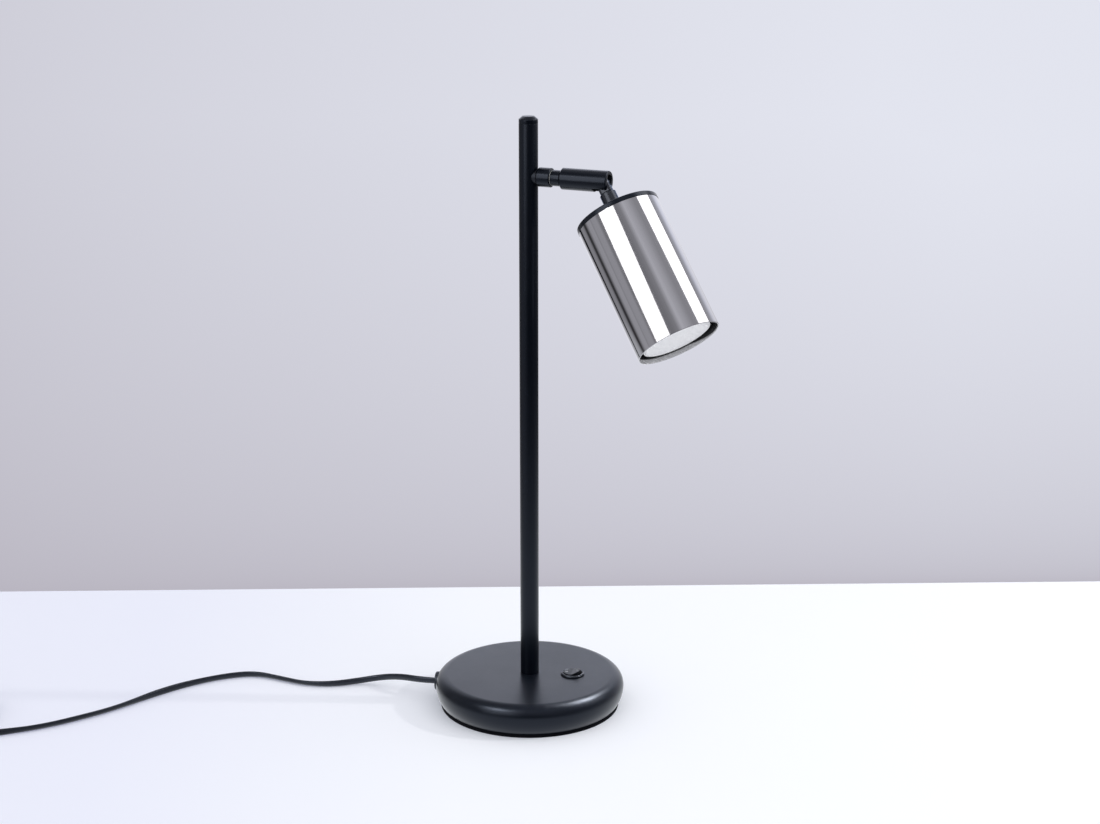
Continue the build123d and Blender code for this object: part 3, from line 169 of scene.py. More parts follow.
# Axes
up = Vector((0, 0, 1))
origin = Vector((0, 0, 0))
along_arm = Vector(joints["arm_swivel"]["axis"])
arm_at = Vector((0, 0, joints["arm_swivel"]["pos_m"][2]))
pivot = Vector(joints["head_tilt"]["pos_m"])
tilt_dir = Vector(joints["head_tilt"]["axis"]).normalized()
head_dir = Vector(joints["lamp_twist"]["axis"]).normalized()
front_dir = head_dir.cross(tilt_dir) * -1
if front_dir.dot(along_arm) < 0:
    front_dir = front_dir * -1
switch_at = Vector(joints["switch_rock"]["pos_m"])
base_y = Vector(joints["switch_rock"]["axis"]).normalized()
base_x = base_y.cross(up)


def new_object(name, data):
    """An object, linked to the scene."""
    item = bpy.data.objects.new(name, data)
    bpy.context.scene.collection.objects.link(item)
    return item


# Camera: fitted to the outlines of the base, pole, arm and shade in the photograph
photo_w = 1100
focal_px = 2265.0
camera_heading = radians(22.67)
camera_pitch = radians(15.70)
camera_data = bpy.data.cameras.new("camera")
camera_data.sensor_width = 36.0
camera_data.lens = focal_px / photo_w * camera_data.sensor_width
camera = new_object("camera", camera_data)
camera.location = (0.6206, -1.4466, 0.668)
camera.rotation_euler = (pi / 2 - camera_pitch, 0, camera_heading)
bpy.context.scene.camera = camera
bpy.context.scene.view_settings.view_transform = "Standard"


class NodeTree:
    """A node tree and short ways to fill it. A value is a number, a colour or another node's output."""

    def __init__(self, data):
        self.data = data

    def fill(self, node, inputs):
        """Sets or links a node's inputs, by name or number."""
        for key, value in inputs.items():
            socket = node.inputs[key]
            if isinstance(value, bpy.types.NodeSocket):
                self.data.links.new(value, socket)
            else:
                socket.default_value = (*value, 1) if socket.type == "RGBA" else value

    def add(self, kind, inputs=None, **settings):
        """A node with its settings and inputs."""
        node = self.data.nodes.new(kind)
        for name, value in settings.items():
            setattr(node, name, value)
        self.fill(node, inputs or {})
        return node

    def maths(self, operation, *values):
        """A number worked out from others."""
        return self.add("ShaderNodeMath", dict(enumerate(values)), operation=operation).outputs[0]

    def measure(self, operation, *vectors):
        """A number worked out from vectors."""
        node = self.add("ShaderNodeVectorMath", dict(enumerate(vectors)), operation=operation)
        return node.outputs["Value"]

    def z_of(self, vector):
        """The height of a vector."""
        return self.add("ShaderNodeSeparateXYZ", {"Vector": vector}).outputs["Z"]

    def place(self):
        """The place on a piece."""
        return self.add("ShaderNodeTexCoord").outputs["Object"]

    def noise(self, vector, scale, detail, rough):
        """Noise on a vector."""
        inputs = {"Vector": vector, "Scale": scale, "Detail": detail, "Roughness": rough}
        return self.add("ShaderNodeTexNoise", inputs).outputs["Fac"]

    def remap(self, value, low, high, to_low, to_high):
        """A value taken from one range to another, clamped."""
        inputs = {"Value": value, "From Min": low, "From Max": high, "To Min": to_low, "To Max": to_high}
        return self.add("ShaderNodeMapRange", inputs).outputs["Result"]

    def bump(self, height, strength, distance):
        """A normal from a height."""
        inputs = {"Height": height, "Strength": strength, "Distance": distance}
        return self.add("ShaderNodeBump", inputs).outputs["Normal"]

    def blend(self, share, first, second):
        """A colour between two."""
        inputs = {"Factor": share, "A": first, "B": second}
        return self.add("ShaderNodeMix", inputs, data_type="RGBA").outputs["Result"]

    def choose(self, share, first, second):
        """A shader between two."""
        return self.add("ShaderNodeMixShader", {"Fac": share, 1: first, 2: second}).outputs["Shader"]

    def both(self, first, second):
        """Two shaders together."""
        return self.add("ShaderNodeAddShader", {0: first, 1: second}).outputs["Shader"]

    def glow(self, colour, strength):
        """A surface that shines by itself."""
        inputs = {"Color": colour, "Strength": strength}
        return self.add("ShaderNodeEmission", inputs).outputs["Emission"]


def new_material(name):
    """A material, its tree and its Principled shader."""
    material = bpy.data.materials.new(name)
    material.use_nodes = True
    return material, NodeTree(material.node_tree), material.node_tree.nodes["Principled BSDF"]


# Shader groups that the finishes share
def new_group(name, inputs, outputs):
    """A shader group with float inputs and named outputs, its tree, and its in and out nodes."""
    group = bpy.data.node_groups.new(name, "ShaderNodeTree")
    for label, value in inputs.items():
        socket = group.interface.new_socket(label, in_out="INPUT", socket_type="NodeSocketFloat")
        socket.default_value = value
    for label, kind in outputs.items():
        group.interface.new_socket(label, in_out="OUTPUT", socket_type=kind)
    tree = NodeTree(group)
    return group, tree, tree.add("NodeGroupInput").outputs, tree.add("NodeGroupOutput")


def make_grain():
    """Fine orange-peel grain of a sprayed or moulded surface: a normal and a fleck mask."""
    group, tree, enter, leave = new_group(
        "surface grain",
        {"Scale": 900.0, "Depth": 0.2, "Height": 0.00005},
        {"Normal": "NodeSocketVector", "Fleck": "NodeSocketFloat"},
    )
    noise = tree.noise(tree.place(), enter["Scale"], 4.0, 0.6)
    tree.fill(leave, {
        "Normal": tree.bump(noise, enter["Depth"], enter["Height"]),
        "Fleck": tree.remap(noise, 0.45, 0.75, 0.0, 1.0),
    })
    return group


def make_handling():
    """Faint smears of handling: a roughness that wanders between two values."""
    group, tree, enter, leave = new_group(
        "handling", {"Scale": 25.0, "Low": 0.4, "High": 0.5}, {"Roughness": "NodeSocketFloat"},
    )
    noise = tree.noise(tree.place(), enter["Scale"], 5.0, 0.62)
    tree.fill(leave, {"Roughness": tree.remap(noise, 0.35, 0.68, enter["Low"], enter["High"])})
    return group


def make_dust():
    """Dust that settles on what faces up, broken by noise: a mask."""
    group, tree, enter, leave = new_group(
        "settled dust", {"Scale": 180.0, "Amount": 0.1}, {"Mask": "NodeSocketFloat"},
    )
    patch = tree.remap(tree.noise(tree.place(), enter["Scale"], 6.0, 0.7), 0.5, 0.8, 0.0, 1.0)
    normal = tree.add("ShaderNodeNewGeometry").outputs["Normal"]
    facing = tree.remap(tree.z_of(normal), 0.3, 1.0, 0.0, 1.0)
    settled = tree.maths("MULTIPLY", patch, facing)
    tree.fill(leave, {"Mask": tree.maths("MULTIPLY", settled, enter["Amount"])})
    return group


grain = make_grain()
handling = make_handling()
dust = make_dust()
dust_colour = (0.45, 0.45, 0.46)
gloss_tint = (0.72, 0.81, 1.0)


def make_finish(
    name, colour, metal=0.0, rough=(0.4, 0.5), smear=25.0, grain_scale=900.0, grain_depth=0.2,
    dusty=0.02, fleck=0.0, fleck_colour=(0.2, 0.2, 0.2), shine=0.4,
):
    """A sprayed, moulded or plated finish: grain, smears of handling, flecks and settled dust."""
    material, tree, shader = new_material(name)
    kind = "ShaderNodeGroup"
    surface = tree.add(kind, {"Scale": grain_scale, "Depth": grain_depth}, node_tree=grain).outputs
    smears = tree.add(kind, {"Scale": smear, "Low": rough[0], "High": rough[1]}, node_tree=handling)
    settled = tree.add(kind, {"Amount": dusty}, node_tree=dust)
    flecked = tree.blend(tree.maths("MULTIPLY", surface["Fleck"], fleck), colour, fleck_colour)
    tree.fill(shader, {
        "Base Color": tree.blend(settled.outputs["Mask"], flecked, dust_colour),
        "Roughness": smears.outputs["Roughness"],
        "Normal": surface["Normal"],
        "Metallic": metal,
        "Specular IOR Level": shine,
        "Specular Tint": gloss_tint,
    })
    return material


def make_knuckle_steel():
    """Dark plated steel, painted lighter grey near the pivot: a painted highlight on the tang, with its metal also
    rubbed bright where it turns in its slot.
    """
    material = make_finish(
        "dark plated steel", (0.045, 0.048, 0.056), metal=1.0, rough=(0.26, 0.36),
        grain_scale=2600.0, grain_depth=0.08,
    )
    tree = NodeTree(material.node_tree)
    shader = material.node_tree.nodes["Principled BSDF"]
    plated = shader.inputs["Base Color"].links[0].from_socket
    reach = tree.measure("DISTANCE", tree.place(), pivot)
    # Painted highlight: the tang is painted lighter grey near the pivot, also standing for rubbed metal
    tang_highlight = tree.remap(reach, tang_highlight_r * mm, tang_highlight_fade_r * mm, 0.85, 0.0)
    tree.fill(shader, {"Base Color": tree.blend(tang_highlight, plated, (0.30, 0.31, 0.33))})
    return material


# Smoked chrome: where its inside starts, how far the black inside runs out to the rim on one side of the mouth as
# a painted dark reflection, and from where to where across the mouth.
# Deeper than the lamp's face the inside is painted near-black: painted shade.
chrome_skin = 0.5
dark_reflection_side = Vector((0.9227, 0.3854, 0))
dark_reflection_from = 10.0
dark_reflection_full = 24.0
dark_reflection_overrun = 2.5
painted_shade_edge = (lamp_face - 0.7, lamp_face + 0.2)


def make_smoked_chrome():
    """Smoked chrome: polished grey metal with faint drawing lines, satin grey inside, painted near-black deeper
    than the lamp's face as painted shade, with a painted dark reflection out to the rim on one side.
    """
    material, tree, shader = new_material("smoked chrome")
    place = tree.place()
    tilt = head_dir.to_track_quat("Z", "Y")
    along_shade = {"Vector": place, "Location": pivot, "Rotation": tilt.to_euler()}
    turned = tree.add("ShaderNodeMapping", along_shade, vector_type="TEXTURE").outputs["Vector"]
    drawn = tree.add("ShaderNodeMapping", {"Vector": turned, "Scale": (1, 1, 0.004)}).outputs["Vector"]
    lines = tree.noise(drawn, 1400.0, 2.0, 0.5)
    polish = tree.remap(tree.noise(place, 38.0, 5.0, 0.6), 0.35, 0.7, 0.055, 0.10)
    flatten = {0: turned, 1: (1, 1, 0)}
    across = tree.add("ShaderNodeVectorMath", flatten, operation="MULTIPLY").outputs["Vector"]
    from_axis = tree.measure("LENGTH", across)
    inner = tree.remap(from_axis, (shade_r - shade_wall) * mm, (shade_r - chrome_skin) * mm, 1, 0)
    # Painted dark reflection: on one side of the mouth the black inside runs out nearer the rim
    side = tree.measure("DOT_PRODUCT", across, tilt.inverted() @ dark_reflection_side)
    reflection_overrun = tree.remap(side, dark_reflection_from * mm, dark_reflection_full * mm, 0, dark_reflection_overrun * mm)
    depth = tree.maths("SUBTRACT", tree.z_of(turned), reflection_overrun)
    # Painted shade: deeper than the lamp's face the inside turns near-black
    painted_shade = tree.remap(depth, painted_shade_edge[0] * mm, painted_shade_edge[1] * mm, 1, 0)
    inside_tone_and_shade = tree.blend(painted_shade, (0.62, 0.62, 0.63), (0.012, 0.012, 0.014))
    outside = tree.blend(lines, (0.415, 0.410, 0.425), (0.46, 0.455, 0.468))
    tree.fill(shader, {
        "Base Color": tree.blend(inner, outside, inside_tone_and_shade),
        "Metallic": tree.remap(inner, 0.0, 1.0, 1.0, 0.15),
        "Roughness": tree.remap(inner, 0.0, 1.0, polish, 0.42),
        "Normal": tree.bump(lines, 0.05, 0.00002),
    })
    return material


def make_diffuser():
    """Opal diffuser: white plastic with faint clouds and a fine grain."""
    material, tree, shader = new_material("opal diffuser")
    place = tree.place()
    cloud = tree.noise(place, 60.0, 3.0, 0.5)
    tree.fill(shader, {
        "Base Color": tree.blend(cloud, (0.86, 0.86, 0.87), (0.90, 0.90, 0.90)),
        "Roughness": tree.remap(cloud, 0.3, 0.7, 0.4, 0.5),
        "Normal": tree.bump(tree.noise(place, 500.0, 2.0, 0.5), 0.03, 0.00003),
    })
    return material


paint_black = (0.0017, 0.0028, 0.0058)
paint_fleck = (0.010, 0.011, 0.014)
slot_finish = {
    "black_paint": make_finish(
        "black powder coat", paint_black, rough=(0.28, 0.34), grain_scale=1500.0,
        grain_depth=0.10, fleck=0.1, fleck_colour=paint_fleck, dusty=0.01, shine=0.25,
    ),
    "black_paint_fine": make_finish(
        "black paint on turned metal", paint_black, rough=(0.22, 0.29), grain_scale=2200.0,
        grain_depth=0.05, fleck=0.05, fleck_colour=paint_fleck, dusty=0.01, shine=0.3,
    ),
    "dark_steel": make_knuckle_steel(),
    "smoked_chrome": make_smoked_chrome(),
    "iron": make_finish(
        "cast iron", (0.055, 0.055, 0.058), metal=0.6, rough=(0.6, 0.8), grain_scale=500.0,
        grain_depth=0.6, fleck=0.35, dusty=0.1,
    ),
    "zinc_steel": make_finish(
        "zinc plate", (0.62, 0.63, 0.66), metal=1.0, rough=(0.25, 0.45), smear=90.0, dusty=0.03,
    ),
    "brass": make_finish(
        "turned brass", (0.72, 0.52, 0.22), metal=1.0, rough=(0.22, 0.36), smear=80.0,
    ),
    "nickel": make_finish(
        "nickel plate", (0.72, 0.70, 0.66), metal=1.0, rough=(0.14, 0.26), smear=80.0,
    ),
    "black_plastic": make_finish(
        "black moulded plastic", (0.005, 0.005, 0.0065), rough=(0.38, 0.5), grain_scale=1800.0,
        grain_depth=0.16, dusty=0.04,
    ),
    "rocker_plastic": make_finish(
        "semi gloss rocker", (0.003, 0.003, 0.004), rough=(0.26, 0.34), grain_scale=1600.0,
        grain_depth=0.05, dusty=0.01, shine=0.15,
    ),
    "black_foam": make_finish(
        "foam pad", (0.002, 0.002, 0.003), rough=(0.8, 0.95), grain_scale=1300.0, grain_depth=0.9,
        fleck=0.3, fleck_colour=(0.008, 0.008, 0.009), shine=0.06,
    ),
    "clear_plastic": make_finish(
        "translucent block", (0.72, 0.73, 0.72), rough=(0.3, 0.45), dusty=0.03,
    ),
    "ceramic": make_finish(
        "steatite", (0.78, 0.76, 0.71), rough=(0.5, 0.7), grain_scale=1100.0, grain_depth=0.3,
        fleck=0.2, fleck_colour=(0.6, 0.57, 0.5),
    ),
    "lamp_white": make_finish(
        "white lamp housing", (0.78, 0.78, 0.78), rough=(0.35, 0.5), grain_scale=1500.0,
    ),
    "diffuser": make_diffuser(),
    "washer_plastic": make_finish("natural acetal", (0.6, 0.6, 0.57), rough=(0.35, 0.5)),
    "cord_pvc": make_finish(
        "cord sheath", (0.0045, 0.0045, 0.0065), rough=(0.36, 0.48), smear=60.0,
        grain_scale=1400.0, grain_depth=0.1, dusty=0.03,
    ),
    "lead_blue": make_finish("blue insulation", (0.02, 0.09, 0.42)),
    "lead_brown": make_finish("brown insulation", (0.12, 0.045, 0.02)),
}
print_white = make_finish("printed mark", (0.62, 0.63, 0.65), rough=(0.5, 0.6), dusty=0.05)

node_slot = {part["node"]: part["material_slot"] for part in frame["record"]["subparts"]}
for node_name, node in frame["nodes"].items():
    node.data.materials.clear()
    node.data.materials.append(slot_finish[node_slot[node_name]])


# Outlines
def rounded(corners, steps):
    """An outline from corners (along, across, radius), with an arc at each corner that has one."""
    points = []
    for i, (x, y, radius) in enumerate(corners):
        here = Vector((x, y))
        if radius == 0:
            points.append(here)
            continue
        to_last = (Vector(corners[i - 1][:2]) - here).normalized()
        to_next = (Vector(corners[(i + 1) % len(corners)][:2]) - here).normalized()
        half = to_last.angle(to_next) / 2
        centre = here + (to_last + to_next).normalized() * (radius / sin(half))
        first = here + to_last * (radius / tan(half)) - centre
        last = here + to_next * (radius / tan(half)) - centre
        start = atan2(first.y, first.x)
        turn = (atan2(last.y, last.x) - start + pi) % (2 * pi) - pi
        for k in range(steps + 1):
            angle = start + turn * k / steps
            points.append(centre + Vector((cos(angle), sin(angle))) * radius)
    return points


def arc(centre, radius, start, end, steps):
    """Points along an arc, the angles in degrees."""
    angles = [radians(start + (end - start) * k / steps) for k in range(steps + 1)]
    return [Vector((centre[0] + radius * cos(a), centre[1] + radius * sin(a))) for a in angles]


# Pieces
def smooth_faces(piece, angle=35.0):
    """Smooth shading with sharp edges past an angle."""
    piece.data.shade_smooth()
    piece.data.set_sharp_from_angle(angle=radians(angle))


def new_piece(name, bm, smooth=35.0):
    """An object from a bmesh, with normals out and edges sharp past an angle."""
    bmesh.ops.remove_doubles(bm, verts=bm.verts, dist=1e-7)
    bmesh.ops.recalc_face_normals(bm, faces=bm.faces)
    mesh = bpy.data.meshes.new(name)
    bm.to_mesh(mesh)
    bm.free()
    piece = new_object(name, mesh)
    smooth_faces(piece, smooth)
    return piece


def lathe(name, outline, at, axis, segments=128):
    """A turned piece: an outline of (along, radius) points spun round an axis."""
    bm = bmesh.new()
    side = axis.orthogonal().normalized()
    other = axis.cross(side).normalized()
    turns = [2 * pi * i / segments for i in range(segments)]
    rings = []
    for along, radius in outline:
        centre = at + axis * (along * mm)
        if radius < 1e-6:
            rings.append([bm.verts.new(centre)])
            continue
        ring = [centre + (side * cos(a) + other * sin(a)) * (radius * mm) for a in turns]
        rings.append([bm.verts.new(point) for point in ring])
    closed = len(rings[0]) > 1 and len(rings[-1]) > 1
    pairs = zip(rings, rings[1:] + rings[:1]) if closed else zip(rings, rings[1:])
    for low, high in pairs:
        for i in range(segments):
            j = (i + 1) % segments
            corners = [low[i % len(low)], low[j % len(low)], high[j % len(high)], high[i % len(high)]]
            corners = list(dict.fromkeys(corners))
            if len(corners) > 2:
                bm.faces.new(corners)
    return new_piece(name, bm)


def rod(name, start, end, radius):
    """A plain round rod between two points, to join or cut with, its radius in millimetres."""
    axis = (end - start).normalized()
    length = (end - start).length / mm
    return lathe(name, [(0, 0), (0, radius), (length, radius), (length, 0)], start, axis, 48)


def prism(name, outline, at, x_dir, y_dir, depth):
    """An outline in millimetres drawn on two directions and pushed along their normal."""
    bm = bmesh.new()
    out = x_dir.cross(y_dir).normalized() * (depth * mm)
    base = [bm.verts.new(at + x_dir * (x * mm) + y_dir * (y * mm)) for x, y in outline]
    top = [bm.verts.new(v.co + out) for v in base]
    bm.faces.new(base)
    bm.faces.new(top)
    for i in range(len(base)):
        j = (i + 1) % len(base)
        bm.faces.new([base[i], base[j], top[j], top[i]])
    return new_piece(name, bm)


def finished_mesh(item):
    """The plain mesh of an object with its modifiers."""
    bpy.context.view_layer.update()
    graph = bpy.context.evaluated_depsgraph_get()
    return bpy.data.meshes.new_from_object(item.evaluated_get(graph))


def combine(piece, tool, operation):
    """Joins a tool to a piece or cuts it away, and removes the tool."""
    modifier = piece.modifiers.new("combine", "BOOLEAN")
    modifier.operation = operation
    modifier.solver = "EXACT"
    modifier.object = tool
    mesh = finished_mesh(piece)
    piece.modifiers.clear()
    piece.data = mesh
    bpy.data.objects.remove(tool)
    smooth_faces(piece)


def drill(piece, start, end, radius):
    """Drills a round hole between two points, its radius in millimetres."""
    combine(piece, rod("drill", start, end, radius), "DIFFERENCE")


def dress(piece, body, *nodes, finish=None):
    """Gives a piece its finish and its body, in place of the CAD nodes it stands for."""
    piece.data.materials.clear()
    piece.data.materials.append(finish or slot_finish[node_slot[nodes[0]]])
    if nodes:
        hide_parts(*nodes)
    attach(piece, body)


# Base cover, with the holes for the pole's nipple, the switch and the cord
rim_z = base_h - base_round
side_h = rim_z - pad_t
side_r = (side_h**2 + base_foot_in**2) / (2 * base_foot_in)
flat_r = base_r - base_round


def base_side(inset):
    """Points up the cover's side, moved in by a wall, as (height, radius)."""
    low_r = side_r - inset
    low_turn = degrees(asin(side_h / low_r))
    low = arc((base_r - side_r, rim_z), low_r, -low_turn, 0, 16)
    top = arc((flat_r, rim_z), base_round - inset, 0, 90, 28)
    return [(z, r) for r, z in low + top[1:]]


def make_cover():
    """The base cover: a pressed shell with a flat top and a big rounded rim."""
    under = base_h - cover_wall
    middle_r = 0.55 * flat_r
    outline = base_side(0)
    outline += [(base_h, middle_r), (base_h, cover_ring_r), (base_h, nipple_hole_r)]
    outline += [(under, nipple_hole_r), (under, middle_r)]
    outline += reversed(base_side(cover_wall))
    piece = lathe("cover_shell", outline, origin, up, 256)
    reach = drill_reach * mm
    drill(piece, switch_at - up * reach, switch_at + up * reach, switch_body_r + drill_play)
    outlet_at = base_x * (-(base_r - outlet_cut_in) * mm) + up * (cord_z * mm)
    drill(piece, outlet_at, outlet_at - base_x * reach, grommet_hole_r)
    return piece


dress(make_cover(), "stand", "base_cover")

pad_r = base_r - base_foot_in + pad_proud
pad_corners = [(0, 0, 0), (0, pad_r, 0.4), (pad_t, pad_r, 0.25), (pad_t, 0, 0)]
dress(lathe("pad_disc", rounded(pad_corners, 4), origin, up, 192), "stand", "foot_pad")

# Pole and its cap
pole_top = lamp_h - cap_rim_h
pole_in = pole_r - pole_wall
pole_corners = [
    (base_h, pole_in, 0), (base_h, pole_r, 0.25), (pole_top, pole_r, 0.2), (pole_top, pole_in, 0),
]
pole = lathe("pole_shell", rounded(pole_corners, 4), origin, up)
drill(pole, arm_at, arm_at + along_arm * (2 * drill_reach * mm), nipple_r + drill_play)
dress(pole, "stand", "pole_tube")


def make_cap():
    """The chamfered cap in the pole's top, slightly domed, on its spigot."""
    top_r = pole_r - cap_bevel
    dome_r = (top_r**2 + cap_dome**2) / (2 * cap_dome)
    dome_turn = degrees(asin(top_r / dome_r))
    dome = [(z, r) for r, z in arc((0, lamp_h - dome_r), dome_r, 90 - dome_turn, 90, 10)]
    plug_r = pole_in - cap_fit
    plug_end = pole_top - cap_spigot_l
    corners = [
        (plug_end, 0, 0), (plug_end, plug_r, 0.3), (pole_top, plug_r, 0), (pole_top, pole_r, 0.2),
        (lamp_h - cap_dome - cap_bevel, pole_r, 0.35), (*dome[1], 0),
    ]
    outline = [tuple(p) for p in rounded(corners, 5)] + dome[2:-1] + [(lamp_h, 0)]
    return lathe("cap_plug", outline, origin, up)


dress(make_cap(), "stand", "pole_cap", finish=slot_finish["black_paint_fine"])

# Switch: housing, rocker with its two marks
pocket_r = switch_body_r - switch_pocket_wall
bezel_in = switch_body_r - 0.2
bezel_corners = [
    (-switch_depth, 0, 0), (-switch_depth, switch_body_r, 0.6), (0, switch_body_r, 0),
    (0, switch_bezel_r, 0.15), (0.45 * switch_bezel_h, switch_bezel_r, 0.2),
    (switch_bezel_h, switch_bezel_r - switch_bezel_slope, 0.25), (switch_bezel_h, bezel_in, 0.1),
    (switch_bezel_h - switch_pocket_lip, pocket_r, 0.1), (-switch_pocket_depth, pocket_r, 0),
    (-switch_pocket_depth, 0, 0),
]
dress(lathe("switch_case", rounded(bezel_corners, 4), switch_at, up), "stand", "switch_housing")

rest_tilt = radians(rocker_swing / 2)
rocker_x = base_x * cos(rest_tilt) + up * sin(rest_tilt)
rocker_z = rocker_x.cross(base_y)


def rocker_top(x):
    """Height of the rocker's top above its pivot, at x across it."""
    slope = tan(radians(rocker_valley))
    return rocker_rise + slope * (sqrt(x * x + rocker_soft * rocker_soft) - rocker_soft)


def make_rocker():
    """The rocker: a round key whose top dips to the middle, with a rounded edge and two pins."""
    bm = bmesh.new()
    rings = 22
    segments = 96
    edge = rocker_edge
    flat = [rocker_r * i / rings for i in range(1, rings)]
    levels = [(r, 0) for r in flat if r < rocker_r - edge]
    for k in range(6):
        a = radians(90) * k / 5
        levels.append((rocker_r - edge + edge * sin(a), edge * (1 - cos(a))))
    turns = [2 * pi * i / segments for i in range(segments)]
    middle = bm.verts.new(switch_at + rocker_z * (rocker_top(0) * mm))
    last = None
    for r, drop in levels:
        ring = []
        for angle in turns:
            x, y = r * cos(angle), r * sin(angle)
            z = rocker_top(x) - drop
            ring.append(bm.verts.new(switch_at + (rocker_x * x + base_y * y + rocker_z * z) * mm))
        for i in range(segments):
            j = (i + 1) % segments
            if last is None:
                bm.faces.new([middle, ring[i], ring[j]])
            else:
                bm.faces.new([last[i], ring[i], ring[j], last[j]])
        last = ring
    low = []
    for angle in turns:
        spot = rocker_x * (rocker_r * cos(angle)) + base_y * (rocker_r * sin(angle))
        low.append(bm.verts.new(switch_at + (spot - rocker_z * rocker_drop) * mm))
    for i in range(segments):
        j = (i + 1) % segments
        bm.faces.new([last[i], low[i], low[j], last[j]])
    bm.faces.new(low)
    piece = new_piece("rocker_key", bm, 40.0)
    pin_reach = base_y * (bezel_in * mm)
    combine(piece, rod("pins", switch_at - pin_reach, switch_at + pin_reach, rocker_pin_r), "UNION")
    return piece


dress(make_rocker(), "rocker", "switch_rocker")


def make_mark(name, outline, x):
    """A thin printed mark on one half of the rocker's top."""
    slope = radians(rocker_valley) * (1 if x > 0 else -1)
    across = rocker_x * cos(slope) + rocker_z * sin(slope)
    height = rocker_top(x) + mark_lift
    at = switch_at + (rocker_x * x + rocker_z * height) * mm
    dress(prism(name, outline, at, base_y, across, mark_t), "rocker", finish=print_white)


quarters = ((-1, -1), (1, -1), (1, 1), (-1, 1))
bar = [(x * bar_l / 2, y * bar_w / 2) for x, y in quarters]
ring = arc((0, 0), ring_r[0], 0, 350, 35) + arc((0, 0), ring_r[1], 350, 0, 35)
make_mark("on_mark", bar, mark_x)
make_mark("off_mark", ring, -mark_x)

# Arm: collar, neck and barrel
bushed_r = nipple_r + fit
collar_corners = [
    (collar_start, bushed_r, 0), (collar_start, collar_r - collar_bevel, 0.15),
    (collar_start + collar_bevel, collar_r, 0.3), (collar_end - collar_nose, collar_r, 0.2),
    (collar_end, collar_r - collar_nose, 0.1), (collar_end, bushed_r, 0),
]
dress(lathe("collar_ring", rounded(collar_corners, 4), arm_at, along_arm), "stand", "arm_collar")

neck_corners = [
    (neck_start, bushed_r, 0), (neck_start, neck_r, 0.2), (barrel_start, neck_r, 0),
    (barrel_start, spigot_r, 0), (spigot_end, spigot_r, 0.3), (spigot_end, bushed_r, 0),
]
dress(lathe("neck_sleeve", rounded(neck_corners, 4), arm_at, along_arm), "arm", "arm_neck")


def make_barrel():
    """The arm's barrel, slotted for the knuckle and drilled for the pivot screw."""
    socket_r = spigot_r + fit
    bore_end = slot_start - 1
    corners = [
        (bore_end, 0, 0), (bore_end, wire_bore_r, 0), (barrel_bore_end, wire_bore_r, 0),
        (barrel_bore_end, socket_r, 0), (barrel_start, socket_r, 0), (barrel_start, neck_r, 0),
        (barrel_full, barrel_r, 0.35), (barrel_end - barrel_bevel, barrel_r, 0.25),
        (barrel_end, barrel_r - barrel_bevel, 0.12), (barrel_end, 0, 0),
    ]
    piece = lathe("barrel_body", rounded(corners, 5), arm_at, along_arm, 160)
    half = slot_w / 2
    reach = barrel_r + 3
    section = [
        (-half, -reach, 0), (half, -reach, 0), (half, slot_top, slot_crown),
        (-half, slot_top, slot_crown),
    ]
    slot_at = arm_at + along_arm * (slot_start * mm)
    slot_up = along_arm.cross(tilt_dir)
    slot_tool = prism("slot_tool", rounded(section, 8), slot_at, tilt_dir, slot_up, slot_run)
    combine(piece, slot_tool, "DIFFERENCE")
    through = along_arm * (slot_break * mm)
    drill(piece, slot_at - through, slot_at + through, wire_bore_r)
    tip = pivot - tilt_dir * ((pivot_tip - drill_play) * mm)
    drill(piece, tip, pivot + tilt_dir * (pivot_drill_end * mm), pivot_hole_r)
    seat = pivot + tilt_dir * (pivot_head_seat * mm)
    drill(piece, seat, seat + tilt_dir * (pivot_head_run * mm), pivot_head_r)
    return piece


dress(make_barrel(), "arm", "arm_barrel")


def make_knuckle():
    """The knuckle: a round-ended tang, a round neck and a spigot, drilled through for the leads."""
    half = tang_t / 2
    tang_corners = [
        (-half, 0, 0), (-half, tang_r, tang_crown), (half, tang_r, tang_crown), (half, 0, 0),
    ]
    piece = lathe("knuckle_body", rounded(tang_corners, 8), pivot, tilt_dir, 96)
    block = [(x, y, tang_crown) for x, y in (
        (-half, -tang_r), (half, -tang_r), (half, tang_r), (-half, tang_r),
    )]
    side = head_dir.cross(tilt_dir)
    tool = prism("tang_tool", rounded(block, 8), pivot, tilt_dir, side, shoulder + shoulder_bevel)
    combine(piece, tool, "UNION")
    neck_outline = rounded([
        (shoulder, 0, 0), (shoulder, knuckle_r - shoulder_bevel, 0.1),
        (shoulder + shoulder_bevel, knuckle_r, 0.2), (shade_drop, knuckle_r, 0.15),
        (shade_drop, knuckle_spigot_r, 0), (spigot_tip, knuckle_spigot_r, 0.4), (spigot_tip, 0, 0),
    ], 4)
    combine(piece, lathe("neck_tool", neck_outline, pivot, head_dir), "UNION")
    bore_from = pivot + head_dir * (0.7 * shoulder * mm)
    drill(piece, bore_from, pivot + head_dir * (lead_bore_end * mm), lead_bore_r)
    mouth_at = pivot + front_dir * ((tang_r + 1) * mm) + head_dir * (0.35 * shoulder * mm)
    drill(piece, mouth_at, pivot + head_dir * (0.85 * shoulder * mm), lead_mouth_r)
    through = tilt_dir * (tang_drill_end * mm)
    drill(piece, pivot - through, pivot + through, pivot_hole_r)
    return piece


dress(make_knuckle(), "head", "knuckle")

